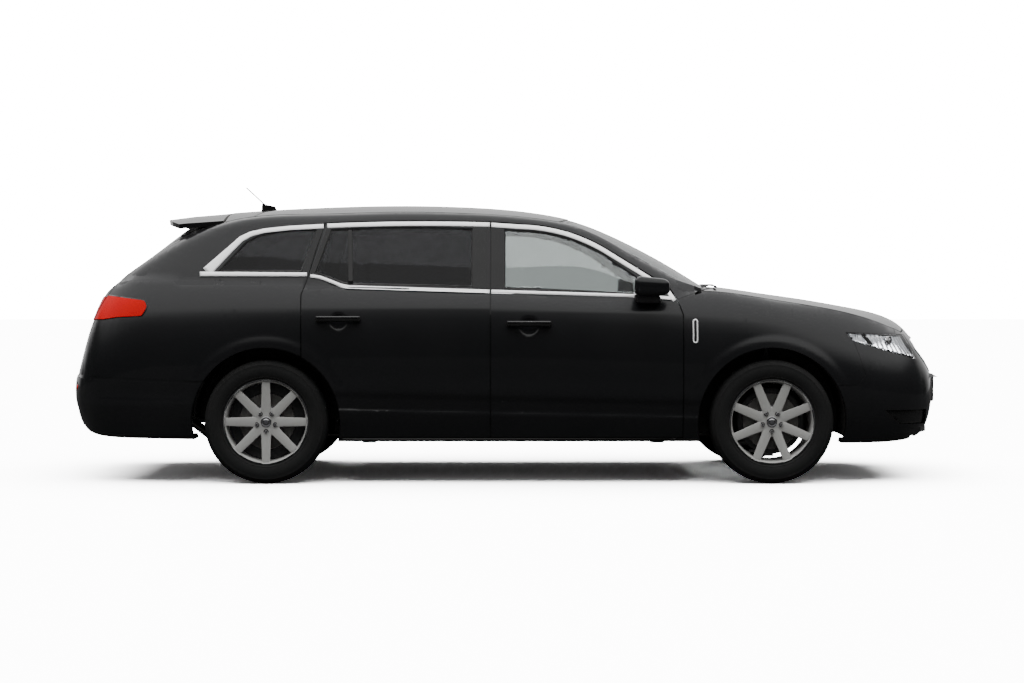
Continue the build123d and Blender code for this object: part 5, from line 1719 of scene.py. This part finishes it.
@dataclass
class DoorMirror:
    """Door mirror of one side: rounded head, glass and foot."""

    side: Side

    def build(self) -> None:
        """Make the mirror and fix it to the front door."""
        low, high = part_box(f"mirror_{self.side.tag}")
        bm = rounded_block(Vector((0.205, 0.190, 0.122)), Vector((0, 0, 0)), 0.038, 5)
        for vert in bm.verts:
            ahead = (vert.co.x + 0.1025) / 0.205
            vert.co.y *= 1 - 0.30 * ahead ** 2
            vert.co.z = vert.co.z * (1 - 0.28 * ahead ** 2) - 0.006 * ahead
        outer = max(abs(low.y), abs(high.y))
        bmesh.ops.translate(bm, vec=(0.855, outer - 0.097, 1.170), verts=bm.verts[:])
        glass_at = Vector((0.7525, outer - 0.097, 1.170))
        glass = rounded_block(Vector((0.004, 0.150, 0.092)), glass_at, 0.0018, 2)
        absorb(bm, glass, 1)
        foot = rounded_block(Vector((0.150, 0.110, 0.050)), Vector((0.835, 0.935, 1.096)), 0.016, 3)
        for vert in foot.verts:
            vert.co.x += 0.020 * (1.096 - vert.co.z) / 0.05
        absorb(bm, foot, 2)
        if self.side is Side.RIGHT:
            flip_to_right(bm)
        finishes = [finish.build() for finish in (Palette.paint, Palette.chrome, Palette.plastic)]
        piece = make_object(f"mirror_head_{self.side.tag}", bm, finishes)
        sharpen(piece, 50)
        settle(piece, f"front_door_{self.side.tag}", f"mirror_{self.side.tag}")


@dataclass
class Seats:
    """Padded seats: two in front and a rear bench."""

    def build(self) -> None:
        """Make all cushions."""
        for row, offset, width in (("front", 0.375, 0.47), ("rear", 0.33, 0.60)):
            node = f"{row}_seats"
            low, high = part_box(node)
            for side in Side:
                at = Vector((low.x + 0.32, side.value * offset, 0))
                self.seat(f"{row}_{side.tag}", at, width, low, high, [node] if side is Side.LEFT else [])

    def seat(self, name: str, at: Vector, width: float, low: Vector, high: Vector, nodes: list[str]) -> None:
        """One seat: cushion, back and head rest, each a crowned closed form.

        Args:
            name: Start of the pieces' names.
            at: Middle of the seat in plan.
            width: Width of the cushion.
            low: Lowest corner of the CAD seats.
            high: Highest corner of the CAD seats.
            nodes: CAD nodes that the cushion stands for.
        """
        base = low.z + 0.16
        parts = (
            ("cushion", Vector((0.50, width, 0.15)), Vector((at.x + 0.08, at.y, base)), 0.0),
            ("back", Vector((0.13, width * 0.97, 0.60)), Vector((at.x - 0.20, at.y, base + 0.34)),
             math.radians(-14)),
            ("headrest", Vector((0.10, 0.27, 0.16)), Vector((at.x - 0.30, at.y, high.z - 0.085)),
             math.radians(-10)),
        )
        for part, size, centre, lean in parts:
            bm = rounded_block(size, Vector((0, 0, 0)), min(size) * 0.32, 4)
            long_edges = [e for e in bm.edges if e.calc_length() > 0.05]
            bmesh.ops.subdivide_edges(bm, edges=long_edges, cuts=5, use_grid_fill=True)
            for vert in bm.verts:
                across = 2 * vert.co.y / size.y
                along = 2 * (vert.co.x if part == "cushion" else vert.co.z) / max(size.x, size.z)
                crown = (1 - across ** 2) * (1 - min(1.0, along ** 2))
                if part == "cushion":
                    vert.co.z += 0.02 * crown * math.copysign(1, vert.co.z)
                else:
                    vert.co.x += 0.02 * crown * math.copysign(1, vert.co.x)
            bmesh.ops.rotate(bm, cent=(0, 0, 0), matrix=Matrix.Rotation(lean, 3, "Y"), verts=bm.verts[:])
            bmesh.ops.translate(bm, vec=centre, verts=bm.verts[:])
            piece = make_object(f"{name}_{part}", bm, [Palette.leather.build()])
            settle(piece, "chassis", *(nodes if part == "cushion" else []), slot="seat_leather")


class Studio:
    """Pale floor, soft light and the photograph's camera."""

    def build(self) -> None:
        """Set the stage."""
        bm = bmesh.new()
        bmesh.ops.create_grid(bm, x_segments=4, y_segments=4, size=60.0)
        floor = make_object("studio_floor", bm, [self.floor_material()])
        bpy.context.scene.world = self.world()
        for name, place, size, power, target in (
            ("front_box", (9.0, -7.0, 3.0), (6.0, 5.0), 70.0, (2.0, 0, 0.8)),
            ("rear_box", (-9.0, -7.0, 3.0), (6.0, 5.0), 70.0, (-2.0, 0, 0.8)),
        ):
            self.light(name, Vector(place), size, power, Vector(target))
        self.overhead()
        self.camera()

    @staticmethod
    def world() -> bpy.types.World:
        """White to the camera, dim in the car's reflections.

        Returns:
            The world.
        """
        world = bpy.data.worlds.new("studio_world")
        world.use_nodes = True
        tree = world.node_tree
        sky = tree.nodes["Background"]
        path, place = tree.nodes.new("ShaderNodeLightPath"), tree.nodes.new("ShaderNodeTexCoord")
        split, ceiling = tree.nodes.new("ShaderNodeSeparateXYZ"), tree.nodes.new("ShaderNodeMapRange")
        shine, seen = tree.nodes.new("ShaderNodeMix"), tree.nodes.new("ShaderNodeMix")
        backdrop, total = tree.nodes.new("ShaderNodeMapRange"), tree.nodes.new("ShaderNodeMath")
        backdrop.inputs["From Min"].default_value, backdrop.inputs["From Max"].default_value = 0.50, 1.0
        backdrop.inputs["To Max"].default_value = 0.8
        tree.links.new(split.outputs["Y"], backdrop.inputs["Value"])
        tree.links.new(backdrop.outputs["Result"], total.inputs[0])
        tree.links.new(ceiling.outputs["Result"], total.inputs[1])
        ceiling.interpolation_type = "SMOOTHSTEP"
        ceiling.inputs["From Min"].default_value, ceiling.inputs["From Max"].default_value = 0.26, 0.50
        ceiling.inputs["To Min"].default_value, ceiling.inputs["To Max"].default_value = 0.012, 0.70
        shine.inputs["A"].default_value = 0.20
        seen.inputs["B"].default_value = 20.0
        sky.inputs["Color"].default_value = (1.0, 1.0, 1.0, 1)
        tree.links.new(place.outputs["Generated"], split.inputs["Vector"])
        tree.links.new(split.outputs["Z"], ceiling.inputs["Value"])
        tree.links.new(path.outputs["Is Glossy Ray"], shine.inputs["Factor"])
        tree.links.new(total.outputs["Value"], shine.inputs["B"])
        tree.links.new(path.outputs["Is Camera Ray"], seen.inputs["Factor"])
        tree.links.new(shine.outputs["Result"], seen.inputs["A"])
        tree.links.new(seen.outputs["Result"], sky.inputs["Strength"])
        return world

    @staticmethod
    def floor_material() -> bpy.types.Material:
        """Pale floor that is dim in reflections, as under a studio's dark side.

        Returns:
            The material.
        """
        material = Finish("studio_floor", (2.60, 2.60, 2.60), (2.50, 2.50, 2.50), 0.9, grain=0.0).build()
        tree = material.node_tree
        shader = tree.nodes["Principled BSDF"]
        path = tree.nodes.new("ShaderNodeLightPath")
        bounce, seen = tree.nodes.new("ShaderNodeMix"), tree.nodes.new("ShaderNodeMix")
        bounce.data_type = seen.data_type = "RGBA"
        bounce.inputs["A"].default_value = (0.08, 0.08, 0.08, 1)
        bounce.inputs["B"].default_value = (0.006, 0.006, 0.006, 1)
        tree.links.new(path.outputs["Is Glossy Ray"], bounce.inputs["Factor"])
        tree.links.new(path.outputs["Is Camera Ray"], seen.inputs["Factor"])
        tree.links.new(bounce.outputs["Result"], seen.inputs["A"])
        tree.links.new(tree.nodes["Group"].outputs["Colour"], seen.inputs["B"])
        tree.links.new(seen.outputs["Result"], shader.inputs["Base Color"])
        shader.inputs["Specular IOR Level"].default_value = 0.1
        return material

    @staticmethod
    def overhead() -> None:
        """Even soft light from above, as from a white ceiling."""
        data = bpy.data.lights.new("ceiling", "SUN")
        data.energy, data.angle = 16.0, math.radians(95)
        lamp = bpy.data.objects.new("ceiling", data)
        lamp.visible_glossy = False
        bpy.context.scene.collection.objects.link(lamp)
        lamp.location = (0, 0, 6)

    @staticmethod
    def light(name: str, place: Vector, size: Point, power: float, target: Vector) -> None:
        """Area light aimed at a point.

        Args:
            name: Light name.
            place: Where it stands.
            size: Width and height.
            power: Watts.
            target: Point it looks at.
        """
        data = bpy.data.lights.new(name, "AREA")
        data.shape, data.size, data.size_y, data.energy = "RECTANGLE", size[0], size[1], power
        lamp = bpy.data.objects.new(name, data)
        lamp.visible_glossy = False
        bpy.context.scene.collection.objects.link(lamp)
        lamp.location = place
        lamp.rotation_euler = (target - place).to_track_quat("-Z", "Y").to_euler()

    @staticmethod
    def camera() -> None:
        """Camera of the photograph: right side, long lens, low height."""
        data = bpy.data.cameras.new("photo_camera")
        data.lens, data.sensor_width = 79.3, 36.0
        camera = bpy.data.objects.new("photo_camera", data)
        bpy.context.scene.collection.objects.link(camera)
        camera.location = (0.0, -14.25, 1.19)
        aim = Vector((0.035, 0.0, 0.820)) - camera.location
        camera.rotation_euler = aim.to_track_quat("-Z", "Y").to_euler()
        bpy.context.scene.camera = camera


KEPT_NODES: dict[str, Finish] = {
    "underbody": Palette.floor_steel, "body_side_left": Palette.paint, "body_side_right": Palette.paint,
    "roof_panel": Palette.headliner, "front_fenders": Palette.paint, "front_bumper": Palette.paint,
    "rear_bumper": Palette.paint, "engine_block": Palette.engine, "front_suspension": Palette.cast,
    "rear_suspension": Palette.cast, "exhaust": Palette.exhaust, "dashboard": Palette.soft,
    "steering_wheel": Palette.soft, "antenna": Palette.gloss, "cowl": Palette.plastic, "hood": Palette.paint,
    "knuckle_left": Palette.cast, "knuckle_right": Palette.cast,
    "front_door_left": Palette.paint, "front_door_right": Palette.paint, "rear_door_left": Palette.paint,
    "rear_door_right": Palette.paint,
}


def main() -> None:
    """Build the dressed limousine and the studio."""
    logging.basicConfig(level=logging.INFO)
    for name, finish in KEPT_NODES.items():
        dress_node(name, finish)
    for side in Side:
        SidePanels(side).build()
        BrightTrim(side).build()
        DoorMirror(side).build()
        Wheel(FRONT_AXLE, side, "front", 0.5).build()
        Wheel(REAR_AXLE, side, "rear", 0.0).build()
    Glazing().build()
    EndPanels().build()
    Wipers().build()
    Seats().build()
    Studio().build()


if __name__ == "__main__":
    main()
